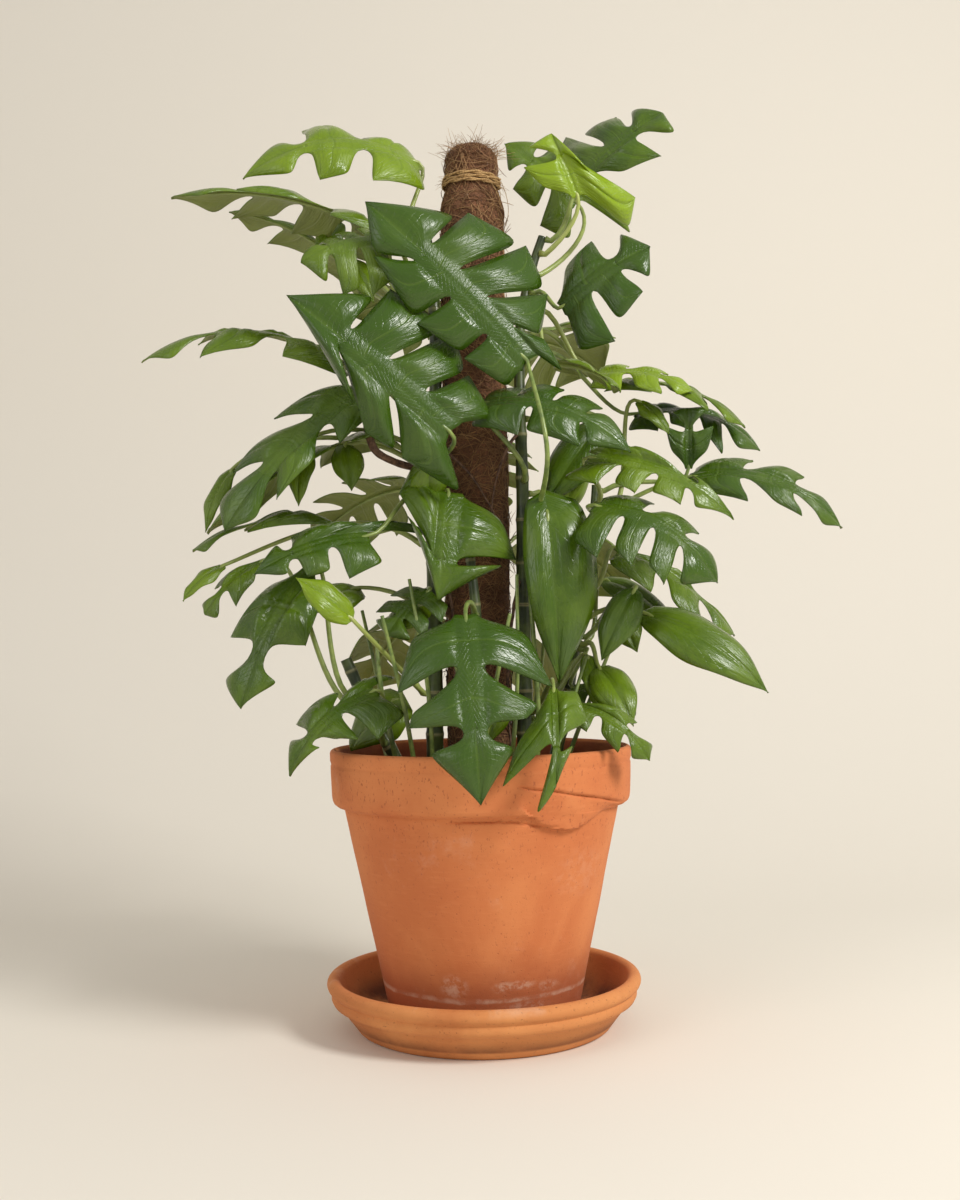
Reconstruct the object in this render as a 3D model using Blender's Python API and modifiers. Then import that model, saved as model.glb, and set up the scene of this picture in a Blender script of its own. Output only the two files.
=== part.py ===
"""Mini monstera: a climbing aroid with split leaves on a coir pole, in a terracotta
pot that stands on a terracotta saucer.

Metres, +Z up, +Y away from the front. The origin is the centre of the saucer's
underside. The dimensions below are in millimetres and become metres where a mesh is made.
"""

import math
from collections import namedtuple

import bmesh
import bpy
from mathutils import Vector, geometry, noise

MM = 0.001

# Driving dimensions, in millimetres
GAP = 0.3
POT_RADIUS = 120.0
POT_HEIGHT = 210.5
POT_BAND = 44.5
POT_WALL = 6.5
POT_FLOOR = 10.0
POT_FOOT_RADIUS = 74.0
POT_SHOULDER_RADIUS = 109.0
DRAIN_RADIUS = 9.0
SAUCER_RADIUS = 124.0
SAUCER_FOOT_RADIUS = 99.0
SAUCER_HEIGHT = 41.0
SAUCER_FLOOR = 8.0
SOIL_LEVEL = 188.0
COIR_RADIUS = 25.0
COIR_NECK_RADIUS = 21.5
COIR_FOOT = 168.0
COIR_TOP = 708.0
NECK_LEVEL = 676.0
STAKE_RADIUS = 10.0
STAKE_FOOT = 40.0
TWINE_RADIUS = 1.6
TWINE_TURNS = 3
STEM_FOOT = 120.0
BLADE_THICKNESS = 0.8
PETIOLE_FOOT_RADIUS = 2.4
PETIOLE_TIP_RADIUS = 1.5
TURNED_STEPS = 36
POLE_STEPS = 20

POT_FOOT = SAUCER_FLOOR + GAP
POT_RIM = POT_FOOT + POT_HEIGHT
SHOULDER = POT_RIM - POT_BAND

# Each stem: its centre line from its buried end to its tip, and the radius at both ends.
# It stands upright in the soil as far as its second point.
Stem = namedtuple("Stem", "route radius tip_radius")
STEMS = {
    "left": Stem(
        ((-36, -12, STEM_FOOT), (-36, -12, 197), (-35, -14, 300), (-34, -16, 420),
         (-31, -15, 520), (-33, -9, 600), (-40, -4, 646)), 7.0, 4.0),
    "right": Stem(
        ((36, -8, STEM_FOOT), (36, -8, 197), (36, -10, 300), (37, -12, 420),
         (36, -12, 500), (38, -8, 560), (48, -4, 604), (57, -5, 630)), 7.0, 3.5),
    "front": Stem(
        ((4, -46, STEM_FOOT), (4, -46, 197), (2, -46, 260), (-2, -44, 330), (-6, -42, 372)),
        5.5, 3.5),
    "side": Stem(
        ((60, 8, STEM_FOOT), (60, 8, 197), (70, 6, 250), (82, 4, 320), (92, 4, 380), (97, 6, 428)),
        5.5, 3.0),
    "cut": Stem(
        ((-62, -26, STEM_FOOT), (-62, -26, 197), (-68, -27, 216), (-82, -28, 240),
         (-104, -30, 290)), 5.0, 4.5),
    "back": Stem(
        ((6, 42, STEM_FOOT), (6, 42, 197), (4, 44, 300), (0, 45, 420), (-3, 44, 500),
         (-2, 44, 556)), 6.0, 3.5),
}

# Each leaf: the stem and the height it grows from, where its blade starts and ends, the way its
# upper face looks, the half-width and the number of lobes of its left and right halves, how far
# its rib arches as a share of its length, and the tilt of its halves in degrees.
Leaf = namedtuple("Leaf", "name kind stem height base tip face halves lobes arch fold")
LEAVES = [Leaf(*row) for row in (
    ("a1", "deep", "left", 632, (-43, 0, 695), (-182, -30, 673), (-.1, -.8, .6), (52, 40), (2, 2), .18, -12),
    ("a2", "deep", "left", 590, (-65, -10, 628), (-235, -45, 653), (.1, -.1, 1), (34, 44), (2, 3), .1, -10),
    ("a3", "deep", "left", 560, (-67, -76, 608), (-129, -85, 588), (-.1, -.8, .5), (40, 34), (2, 3), .1, -20),
    ("a4", "deep", "left", 560, (-96, 50, 613), (-206, 42, 672), (.4, .1, .9), (26, 30), (2, 2), .1, -10),
    ("b1", "split", "right", 388, (40, -75, 513), (-79, -94, 630), (-.1, -1, .3), (48, 56), (3, 4), .06, -8),
    ("b2", "split", "left", 425, (-19, -86, 458), (-137, -103, 558), (-.2, -1, .3), (42, 56), (2, 3), .06, -8),
    ("b3", "split", "right", 430, (6, -52, 486), (118, -69, 443), (.1, -.8, .7), (36, 28), (3, 2), .16, -10),
    ("c1", "deep", "right", 629, (92, -8, 682), (155, -18, 726), (-.1, -.8, .5), (44, 40), (2, 1), .05, -6),
    ("c2", "deep", "right", 602, (89, 38, 673), (29, 46, 728), (.1, -.9, .3), (36, 40), (2, 2), .06, -8),
    ("c3", "deep", "right", 617, (84, -32, 654), (64, -40, 701), (-.1, -.9, .3), (30, 26), (1, 1), .08, 5),
    ("c4", "deep", "right", 584, (70, -24, 567), (140, -36, 611), (-.2, -.8, .4), (48, 50), (1, 2), .08, -8),
    ("d1", "deep", "right", 560, (62, -28, 522), (114, -46, 494), (0, .1, 1), (22, 26), (2, 1), .1, -5),
    ("d2", "deep", "right", 570, (98, 0, 518), (176, -12, 500), (0, -.6, .8), (22, 24), (2, 2), .12, -8),
    ("d3", "deep", "right", 550, (112, 20, 514), (221, 10, 474), (.1, -.3, .9), (30, 30), (2, 2), .14, -8),
    ("d4", "deep", "right", 530, (136, 42, 493), (238, 34, 459), (0, -.5, .9), (28, 32), (2, 3), .16, -8),
    ("e1", "deep", "side", 402, (172, -8, 432), (288, -26, 387), (.2, -.7, .7), (44, 34), (2, 2), .18, -8),
    ("e2", "deep", "side", 424, (173, 6, 441), (173, 0, 489), (-.1, -.8, .4), (18, 20), (1, 1), .05, 5),
    ("e3", "deep", "side", 412, (88, -46, 443), (197, -56, 392), (-.1, -.6, .8), (26, 44), (1, 3), .14, -10),
    ("e4", "deep", "side", 385, (90, -68, 403), (179, -82, 342), (-.1, -.6, .8), (32, 44), (2, 3), .18, -10),
    ("e5", "deep", "side", 345, (112, -10, 376), (208, 8, 304), (.7, -.3, .6), (20, 34), (1, 2), .08, -15),
    ("f1", "whole", "side", 322, (132, -38, 321), (216, -57, 264), (-.1, -.8, .7), (28, 26), (0, 0), .1, -6),
    ("f2", "whole", "side", 300, (106, 22, 352), (162, 18, 306), (0, -.5, .8), (22, 22), (0, 0), .12, -6),
    ("f3", "heart", "right", 375, (54, -64, 397), (60, -68, 276), (.1, -1, .1), (38, 22), (0, 0), .06, -6),
    ("f4", "whole", "right", 480, (101, 14, 478), (58, 4, 417), (-.1, -.9, .3), (24, 24), (0, 0), .06, -6),
    ("g1", "split", "left", 392, (-21, -56, 416), (-30, -75, 332), (.1, -.8, .5), (62, 40), (1, 1), .1, -8),
    ("g2", "deep", "front", 322, (-9, -106, 320), (0, -150, 188), (0, -.8, .6), (54, 54), (2, 2), .12, -8),
    ("g3", "deep", "right", 246, (54, -100, 266), (52, -143, 199), (.1, -.8, .7), (16, 16), (1, 1), .1, -8),
    ("g4", "deep", "side", 236, (70, -62, 253), (126, -76, 211), (.1, -.8, .7), (18, 18), (1, 2), .2, -8),
    ("g5", "deep", "side", 296, (74, -10, 265), (122, -24, 242), (0, -.6, .8), (26, 22), (1, 2), .14, -8),
    ("g6", "whole", "side", 306, (119, -56, 338), (94, -60, 289), (-.1, -.8, .6), (18, 18), (0, 0), .08, -6),
    ("h1", "deep", "left", 500, (-105, -4, 530), (-263, -30, 527), (.1, -.3, .9), (32, 30), (2, 3), .16, -10),
    ("h2", "deep", "left", 470, (-81, -42, 501), (-190, -74, 388), (-.2, -.8, .6), (46, 54), (2, 2), .1, -8),
    ("h3", "deep", "left", 440, (-80, -12, 468), (-209, -44, 389), (-.2, .1, .9), (44, 30), (3, 2), .1, -10),
    ("h4", "deep", "left", 390, (-95, 2, 392), (-225, -22, 377), (0, -.2, .9), (22, 22), (1, 1), .14, -8),
    ("h5", "deep", "left", 414, (-83, -66, 383), (-167, -80, 354), (-.1, -.8, .7), (38, 34), (2, 2), .1, -8),
    ("h6", "deep", "cut", 262, (-129, -44, 361), (-179, -72, 254), (-.3, -.8, .5), (44, 44), (1, 1), .1, -8),
    ("h7", "deep", "cut", 255, (-172, -8, 370), (-216, -22, 327), (-.2, -.6, .7), (20, 20), (1, 1), .1, -8),
    ("h8", "whole", "left", 262, (-93, -98, 320), (-129, -108, 348), (0, -.8, .6), (16, 16), (0, 0), .08, -6),
    ("h9", "deep", "cut", 225, (-79, -68, 266), (-142, -80, 204), (-.4, -.7, .6), (34, 34), (2, 2), .16, -10),
    ("h10", "deep", "left", 340, (-38, -44, 342), (-70, -60, 307), (-.1, -.7, .7), (26, 28), (2, 2), .1, -8),
    ("k1", "split", "back", 548, (-26, 84, 600), (-112, 140, 606), (-.2, .6, .8), (50, 50), (3, 3), .14, -8),
    ("k2", "split", "back", 520, (32, 84, 566), (120, 150, 550), (.2, .6, .8), (50, 50), (3, 3), .14, -8),
    ("k3", "deep", "back", 400, (-50, 86, 440), (-150, 130, 396), (-.2, .6, .8), (44, 44), (3, 3), .14, -8),
    ("k4", "split", "back", 360, (50, 90, 400), (138, 140, 340), (.2, .6, .8), (44, 44), (3, 2), .14, -8),
    ("k5", "deep", "back", 440, (-5, 104, 486), (4, 204, 420), (0, .8, .7), (56, 56), (3, 3), .14, -8),
    ("k6", "split", "back", 300, (-44, 90, 330), (-108, 150, 256), (-.3, .7, .7), (40, 40), (2, 3), .14, -8),
    ("k7", "whole", "back", 280, (30, 98, 310), (66, 170, 236), (.2, .8, .6), (32, 32), (0, 0), .1, -6),
)]

# Where the lobes of the most visible leaves end, from the blade's foot, as shares of the leaf's
# length: along the rib, and away from it. The other leaves' lobes follow the general outline.
LOBE_TIPS = {
    "a1": (((.3, .28), (.62, .22)), ((.2, .4), (.62, .42))),
    "b1": (((.2, .2), (.46, .24), (.8, .16)), ((0, .14), (.12, .34), (.36, .42), (.66, .32))),
    "b2": (((.08, .24), (.3, .26)), ((.08, .3), (.28, .42), (.66, .36))),
    "c1": (((.12, .85), (.68, .5)), ((.7, .42),)),
    "c2": (((.1, .42), (.6, .32)), ((-.3, .45), (.62, .45))),
    "c3": (((.7, .6),), ((-.4, .9),)),
    "c4": (((.62, .55),), ((.2, .62), (.7, .4))),
    "e1": (((.32, .28), (.68, .2)), ((.38, .2), (.75, .15))),
    "e3": (((.33, .2),), ((.1, .26), (.35, .26), (.66, .2))),
    "g1": (((.5, .66),), ((.02, .44),)),
    "g2": (((.38, .42), (.6, .26)), ((.38, .38), (.6, .33))),
    "g3": (((.3, .3),), ((1, .45),)),
    "h2": (((.35, .2), (.75, .16)), ((.4, .3), (.76, .24))),
    "h5": (((.25, .35), (.6, .25)), ((-.3, .25), (.6, .3))),
    "h6": (((.5, .25),), ((.6, .32),)),
    "h9": (((.22, .43), (.5, .2)), ((0, .36), (.68, .36))),
}

# Blade outline, as shares of the leaf's length along the rib and of its half-width across it.
# Lobes fill the first part of the rib, and the end lobe fills the rest.
LOBED_ZONE = 0.64
# A slit stops this far from the rib
SINUS = {"split": 0.2, "deep": 0.17}
# How wide a slit is at its mouth and half of it at its foot, as shares of one lobe's step
SLIT = {"split": 0.1, "deep": 0.42}
SLIT_FOOT = {"split": 0.15, "deep": 0.22}
# How far out a lobe's rear corner lies, compared with the tip of the lobe behind it
LOBE_SHOULDER = {"split": 1.0, "deep": 0.82}
# The first lobe's rear corner lies at most this far behind its tip
FIRST_LOBE = 0.42
# Shares of the way round an edge at which the outline has a corner
LOBE_STEPS = (0.3, 0.6, 0.82)
TERMINAL_STEPS = (0.25, 0.52, 0.8)
ENTIRE_STEPS = (0.12, 0.3, 0.52, 0.74, 0.92)
# How far the blade's edge hangs below its rib, as a share of its half-width
DROOP = 0.2

# Petioles that go round another piece on their way
PETIOLE_VIA = {
    "b1": (53, -95, 438),
}


def clear_scene():
    for thing in list(bpy.data.objects):
        bpy.data.objects.remove(thing)


def new_collection(name):
    collection = bpy.data.collections.new(name)
    bpy.context.scene.collection.children.link(collection)
    return collection


def material(name, colour, roughness):
    made = bpy.data.materials.get(name)
    if made:
        return made
    made = bpy.data.materials.new(name)
    made.use_nodes = True
    shader = made.node_tree.nodes["Principled BSDF"]
    shader.inputs["Base Color"].default_value = (*colour, 1.0)
    shader.inputs["Roughness"].default_value = roughness
    shader.inputs["Metallic"].default_value = 0.0
    return made


def terracotta():
    return material("terracotta", (0.62, 0.25, 0.12), 0.8)


def saucer_clay():
    return material("saucer_clay", (0.66, 0.33, 0.15), 0.78)


def potting_soil():
    return material("potting_soil", (0.05, 0.03, 0.02), 0.95)


def coir():
    return material("coir", (0.24, 0.13, 0.06), 0.95)


def stake_wood():
    return material("stake_wood", (0.45, 0.3, 0.16), 0.8)


def jute_twine():
    return material("jute_twine", (0.52, 0.37, 0.18), 0.9)


def stem_green():
    return material("stem_green", (0.13, 0.2, 0.06), 0.5)


def leaf_green():
    return material("leaf_green", (0.07, 0.2, 0.03), 0.3)


def add_object(name, mesh, collection, look):
    made = bpy.data.objects.new(name, mesh)
    collection.objects.link(made)
    if look:
        mesh.materials.clear()
        mesh.materials.append(look)
    return made


def shade(mesh, angle=40.0):
    mesh.shade_smooth()
    mesh.set_sharp_from_angle(angle=math.radians(angle))


def turned(name, profile, collection, look, steps=TURNED_STEPS):
    """A solid turned about the Z axis from (radius, height) points, outer side first, downwards."""
    mesh = bpy.data.meshes.new(name)
    points = [(radius * MM, 0.0, height * MM) for radius, height in profile]
    edges = [(i, i + 1) for i in range(len(points) - 1)]
    if profile[0][0] > 0 or profile[-1][0] > 0:
        edges.append((len(points) - 1, 0))
    mesh.from_pydata(points, edges, [])
    made = add_object(name, mesh, collection, look)
    screw = made.modifiers.new("turn", "SCREW")
    screw.steps = steps
    screw.render_steps = steps
    screw.use_merge_vertices = True
    screw.merge_threshold = 0.0001
    screw.use_smooth_shade = True
    return made


def arc(centre, radius, start, end, steps):
    """Points of a round stretch of a profile, from one angle in degrees to another."""
    angles = [math.radians(start + (end - start) * i / steps) for i in range(steps + 1)]
    return [(centre[0] + radius * math.cos(a), centre[1] + radius * math.sin(a)) for a in angles]


def pot_inner_radius(height):
    """Radius of the pot's inner wall at a height above the floor that the plant stands on."""
    floor = POT_FOOT + POT_FLOOR
    if height >= SHOULDER + 4.0:
        return POT_RADIUS - POT_WALL - 1.0
    if height >= SHOULDER - 4.0:
        share = (height - SHOULDER + 4.0) / 8.0
        low = POT_SHOULDER_RADIUS - POT_WALL
        return low + share * (POT_RADIUS - POT_WALL - 1.0 - low)
    share = (height - floor) / (SHOULDER - 4.0 - floor)
    low = POT_FOOT_RADIUS - POT_WALL
    return low + share * (POT_SHOULDER_RADIUS - POT_WALL - low)


def pot(collection):
    """The flower pot: a tapered body under a thick rim band, with one drainage hole."""
    lip = POT_WALL / 2
    floor = POT_FOOT + POT_FLOOR
    outer = [
        *arc((POT_RADIUS - lip, POT_RIM - lip), lip, 90, 0, 3),
        (POT_RADIUS - 0.6, POT_RIM - 12.0),
        (POT_RADIUS - 1.8, SHOULDER + 5.0),
        (POT_RADIUS - 4.0, SHOULDER + 1.2),
        (POT_RADIUS - 7.5, SHOULDER),
        (POT_SHOULDER_RADIUS, SHOULDER - 1.2),
        (POT_FOOT_RADIUS + 0.6, POT_FOOT + 3.0),
        (POT_FOOT_RADIUS - 2.4, POT_FOOT),
    ]
    inner = [
        (DRAIN_RADIUS, POT_FOOT),
        (DRAIN_RADIUS, floor),
        (pot_inner_radius(floor) - 3.0, floor),
        (pot_inner_radius(floor + 3.0), floor + 3.0),
        (pot_inner_radius(SHOULDER - 4.0), SHOULDER - 4.0),
        (pot_inner_radius(SHOULDER + 4.0), SHOULDER + 4.0),
        (POT_RADIUS - POT_WALL, POT_RIM - lip),
    ]
    return turned("pot", outer + inner, collection, terracotta())


def saucer(collection):
    """The saucer: a flat floor and a flaring wall with a stepped band under a rolled lip."""
    roll = 5.4
    lip = (SAUCER_RADIUS - roll, SAUCER_HEIGHT - roll)
    profile = [
        *arc(lip, roll, 150, -60, 6),
        (SAUCER_RADIUS - 4.2, SAUCER_HEIGHT - 12.0),
        (SAUCER_RADIUS - 3.6, SAUCER_HEIGHT - 16.5),
        (SAUCER_RADIUS - 6.0, SAUCER_HEIGHT - 20.0),
        (SAUCER_RADIUS - 10.0, SAUCER_HEIGHT - 21.2),
        (SAUCER_FOOT_RADIUS + 2.0, 3.0),
        (SAUCER_FOOT_RADIUS - 1.5, 0.0),
        (0.0, 0.0),
        (0.0, SAUCER_FLOOR),
        (SAUCER_FOOT_RADIUS - 6.0, SAUCER_FLOOR),
        (SAUCER_FOOT_RADIUS, SAUCER_FLOOR + 4.0),
        (SAUCER_RADIUS - 17.5, SAUCER_HEIGHT - 20.0),
        (SAUCER_RADIUS - 12.0, SAUCER_HEIGHT - 9.0),
    ]
    return turned("saucer", profile, collection, saucer_clay())


def apply_booleans(made):
    """Replaces the object's mesh by the one its modifiers give."""
    evaluated = made.evaluated_get(bpy.context.evaluated_depsgraph_get())
    mesh = bpy.data.meshes.new_from_object(evaluated)
    old = made.data
    made.modifiers.clear()
    made.data = mesh
    bpy.data.meshes.remove(old)


def cylinder(name, centre, radius, low, high, collection, sides=16):
    mesh = bpy.data.meshes.new(name)
    shape = bmesh.new()
    wide = radius / math.cos(math.pi / sides) * MM
    bmesh.ops.create_cone(shape, cap_ends=True, segments=sides, radius1=wide, radius2=wide,
                          depth=(high - low) * MM)
    shape.to_mesh(mesh)
    shape.free()
    made = add_object(name, mesh, collection, None)
    made.location = (centre[0] * MM, centre[1] * MM, (low + high) / 2 * MM)
    made.hide_render = True
    made.display_type = "WIRE"
    return made


def soil(collection, cutters):
    """The potting soil: it fills the pot to below the rim and has a hole for the pole and stems."""
    floor = POT_FOOT + POT_FLOOR
    rings = (0.35, 0.62, 0.82)
    edge = pot_inner_radius(SOIL_LEVEL) - GAP - 0.2
    profile = [(edge, SOIL_LEVEL - 2.0)]
    for height in (SHOULDER + 4.0, SHOULDER - 4.0, floor + 3.0):
        profile.append((pot_inner_radius(height) - GAP - 0.9, height))
    profile.append((pot_inner_radius(floor) - 4.0, floor + GAP))
    profile.append((0.0, floor + GAP))
    profile.append((0.0, SOIL_LEVEL))
    profile += [(edge * share, SOIL_LEVEL) for share in rings]
    made = turned("soil", profile, collection, potting_soil(), 28)
    apply_booleans(made)
    for vertex in made.data.vertices:
        if vertex.co.z > (SOIL_LEVEL - 1.0) * MM:
            bump = noise.noise(vertex.co * 45.0) + 0.5 * noise.noise(vertex.co * 110.0)
            vertex.co.z += 2.6 * MM * bump
    above = SOIL_LEVEL + 12
    holes = [
        cylinder("hole_coir", (0, 0), COIR_RADIUS + GAP, COIR_FOOT - GAP, above, cutters, 24),
        cylinder("hole_stake", (0, 0), STAKE_RADIUS + GAP, STAKE_FOOT - GAP, COIR_FOOT + 5, cutters),
    ]
    for name, stem in STEMS.items():
        holes.append(cylinder("hole_" + name, stem.route[0][:2], stem.radius + GAP,
                              STEM_FOOT - GAP, above, cutters))
    for hole in holes:
        cut = made.modifiers.new(hole.name, "BOOLEAN")
        cut.object = hole
        cut.operation = "DIFFERENCE"
    return made


def pole(collection):
    """The climbing pole: a wooden stake in a thick coir wrap, bound with twine at its neck."""
    stake_top = COIR_TOP - 12.0
    turned("pole_stake", [
        (0.0, stake_top),
        (STAKE_RADIUS, stake_top),
        (STAKE_RADIUS, STAKE_FOOT + 14.0),
        (2.0, STAKE_FOOT),
        (0.0, STAKE_FOOT),
    ], collection, stake_wood(), 12)
    bore = STAKE_RADIUS + GAP
    turned("coir_wrap", [
        (0.0, COIR_TOP),
        (COIR_NECK_RADIUS * 0.6, COIR_TOP - 1.5),
        (COIR_NECK_RADIUS * 0.9, COIR_TOP - 7.0),
        (COIR_NECK_RADIUS, COIR_TOP - 18.0),
        (COIR_NECK_RADIUS - 0.5, NECK_LEVEL + 6.0),
        (COIR_NECK_RADIUS - 0.5, NECK_LEVEL - 6.0),
        (COIR_RADIUS, NECK_LEVEL - 22.0),
        (COIR_RADIUS, 430.0),
        (COIR_RADIUS - 0.8, 300.0),
        (COIR_RADIUS, COIR_FOOT),
        (bore, COIR_FOOT),
        (bore, stake_top + GAP),
        (0.0, stake_top + GAP),
    ], collection, coir(), POLE_STEPS)
    inner = COIR_NECK_RADIUS - 0.5 + GAP
    rope = TWINE_RADIUS
    span = rope * 1.7
    profile = []
    for turn in range(TWINE_TURNS):
        level = NECK_LEVEL + (TWINE_TURNS / 2 - 0.5 - turn) * span
        profile += arc((inner + rope, level), rope, 50, -50, 1)
    bottom = NECK_LEVEL - TWINE_TURNS / 2 * span
    profile.append((inner, bottom))
    profile.append((inner, bottom + TWINE_TURNS * span))
    turned("twine_tie", profile, collection, jute_twine(), POLE_STEPS)


def tube(name, points, radii, sides_level, collection, look):
    """A closed tube along points in millimetres, with its own radius at each point."""
    curve = bpy.data.curves.new(name, "CURVE")
    curve.dimensions = "3D"
    curve.bevel_depth = MM
    curve.bevel_resolution = sides_level
    curve.use_fill_caps = True
    spline = curve.splines.new("POLY")
    spline.points.add(len(points) - 1)
    for point, place, radius in zip(spline.points, points, radii):
        point.co = (*(Vector(place) * MM), 1.0)
        point.radius = radius
    guide = bpy.data.objects.new(name + "_line", curve)
    collection.objects.link(guide)
    evaluated = guide.evaluated_get(bpy.context.evaluated_depsgraph_get())
    mesh = bpy.data.meshes.new_from_object(evaluated)
    bpy.data.objects.remove(guide)
    shape = bmesh.new()
    shape.from_mesh(mesh)
    bmesh.ops.remove_doubles(shape, verts=shape.verts, dist=0.00001)
    shape.to_mesh(mesh)
    shape.free()
    mesh.name = name
    return add_object(name, mesh, collection, look)


def smooth_line(places, spacing, start_direction=None):
    """Points about a spacing apart on a smooth curve through the given places."""
    places = [Vector(place) for place in places]
    last = len(places) - 1
    slopes = [(places[min(i + 1, last)] - places[max(i - 1, 0)]) / 2 for i in range(last + 1)]
    if start_direction:
        slopes[0] = Vector(start_direction) * (places[1] - places[0]).length
    line = [places[0]]
    for i in range(last):
        count = max(1, round((places[i + 1] - places[i]).length / spacing))
        for step in range(1, count + 1):
            t = step / count
            line.append(
                places[i] * (2 * t**3 - 3 * t**2 + 1) + slopes[i] * (t**3 - 2 * t**2 + t)
                + places[i + 1] * (3 * t**2 - 2 * t**3) + slopes[i + 1] * (t**3 - t**2))
    return line


def stem_line(name):
    """The stem's centre line, upright in the soil and smooth above it, with its radii."""
    stem = STEMS[name]
    line = [Vector(stem.route[0])] + smooth_line(stem.route[1:], 30.0, (0, 0, 1))
    radii = []
    for i in range(len(line)):
        share = max(0.0, i - 2) / (len(line) - 3)
        radii.append(stem.radius + (stem.tip_radius - stem.radius) * share)
    return line, radii


def stem(name, collection):
    line, radii = stem_line(name)
    made = tube("stem_" + name, line, radii, 1, collection, stem_green())
    shade(made.data)
    return made


def stem_at(name, height):
    """Place, direction and radius of a stem where its centre line passes a height."""
    line, radii = stem_line(name)
    for i in range(1, len(line)):
        if line[i].z >= height or i == len(line) - 1:
            share = min(1.0, (height - line[i - 1].z) / (line[i].z - line[i - 1].z))
            place = line[i - 1].lerp(line[i], share)
            radius = radii[i - 1] + (radii[i] - radii[i - 1]) * share
            return place, (line[i] - line[i - 1]).normalized(), radius


def wobble(leaf, number):
    """A repeatable small value between -1 and 1 for a part of a leaf."""
    seed = 12.9898 * number + 4.1414 * (1 + LEAVES.index(leaf))
    return 2 * (math.sin(seed) * 43758.5453 % 1.0) - 1


def envelope(leaf, along):
    """Half-width of the blade as a share of its widest, at a share of the rib."""
    if leaf.lobes != (0, 0):
        return 1.0 - 1.15 * (along - 0.36) ** 2
    foot = 0.55 if leaf.kind == "heart" else 0.3
    return (1 - along) ** 1.2 * (foot + (3.1 - foot) * along) / 0.9


def sweep(leaf, along):
    """How far the blade's side runs forward of the rib, as a share of the length."""
    if leaf.lobes != (0, 0):
        return 0.36 * along - 0.1
    back = 0.17 if leaf.kind == "heart" else 0.06
    return -back * (1 - along) ** 3 + 0.06 * along


def flat_place(leaf, side, along, across):
    """A point of the flat blade: (along the rib, to the right of it, lift), in millimetres."""
    length = (Vector(leaf.tip) - Vector(leaf.base)).length
    half = leaf.halves[0 if side < 0 else 1]
    return ((along + across * sweep(leaf, along)) * length,
            side * across * half * envelope(leaf, along), 0.0)


def lobe_tip(leaf, side, number):
    """Where a lobe ends on the flat blade: its forward outer corner."""
    if leaf.name in LOBE_TIPS:
        length = (Vector(leaf.tip) - Vector(leaf.base)).length
        along, across = LOBE_TIPS[leaf.name][0 if side < 0 else 1][number]
        return Vector((along * length, side * across * length, 0.0))
    step = LOBED_ZONE / leaf.lobes[0 if side < 0 else 1]
    reach = 1 + 0.1 * wobble(leaf, side * (number + 1))
    return Vector(flat_place(leaf, side, (number + 0.9) * step, reach))


def on_curve(points, share):
    """A point of the Bezier curve that a row of points controls."""
    while len(points) > 1:
        points = [near.lerp(far, share) for near, far in zip(points, points[1:])]
    return points[0]


def lobe_shoulder(leaf, side, number):
    """The rounded rear corner of a lobe, just in front of the tip of the lobe behind it."""
    length = (Vector(leaf.tip) - Vector(leaf.base)).length
    step = LOBED_ZONE * length / leaf.lobes[0 if side < 0 else 1]
    if number == 0:
        first = lobe_tip(leaf, side, 0)
        return Vector((first.x - min(1.1 * step, FIRST_LOBE * length), 0.75 * first.y, 0.0))
    behind = lobe_tip(leaf, side, number - 1)
    return Vector((behind.x + SLIT[leaf.kind] * step, LOBE_SHOULDER[leaf.kind] * behind.y, 0.0))


def lobe_place(leaf, side, number, way, out):
    """A point of one lobe's edge: way -1 its rear edge, 1 its front edge, out 0 to 1."""
    length = (Vector(leaf.tip) - Vector(leaf.base)).length
    step = LOBED_ZONE / leaf.lobes[0 if side < 0 else 1]
    low, high = number * step, (number + 1) * step
    end = lobe_tip(leaf, side, number)
    opening = Vector((SLIT_FOOT[leaf.kind] * step * length, 0.0, 0.0))
    if way < 0:
        root = Vector(flat_place(leaf, side, low, SINUS[leaf.kind]))
        shoulder = lobe_shoulder(leaf, side, number)
        place = on_curve((root, root + opening, shoulder, shoulder, shoulder, end), out)
    else:
        root = Vector(flat_place(leaf, side, high, SINUS[leaf.kind]))
        place = on_curve((root, root - opening, root.lerp(end, 0.6) - 0.1 * opening, end), out)
    place.z = 0.1 * max(leaf.halves) * wobble(leaf, side * (number + 7)) * out**1.5
    return tuple(place)


def terminal_place(leaf, side, share):
    """The edge of the end lobe, from the last slit to the tip."""
    length = (Vector(leaf.tip) - Vector(leaf.base)).length
    count = leaf.lobes[0 if side < 0 else 1]
    root = Vector(flat_place(leaf, side, LOBED_ZONE, SINUS[leaf.kind]))
    opening = Vector((SLIT_FOOT[leaf.kind] * LOBED_ZONE * length / count, 0.0, 0.0))
    shoulder = lobe_shoulder(leaf, side, count)
    shoulder.y = side * min(abs(shoulder.y), 0.9 * leaf.halves[0 if side < 0 else 1])
    near_tip = Vector(((shoulder.x + 3 * length) / 4, 0.16 * shoulder.y, 0.0))
    tip = Vector((length, 0.0, 0.0))
    edge = (root, root + opening, shoulder, shoulder, shoulder, near_tip, tip)
    return tuple(on_curve(edge, share))


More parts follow.
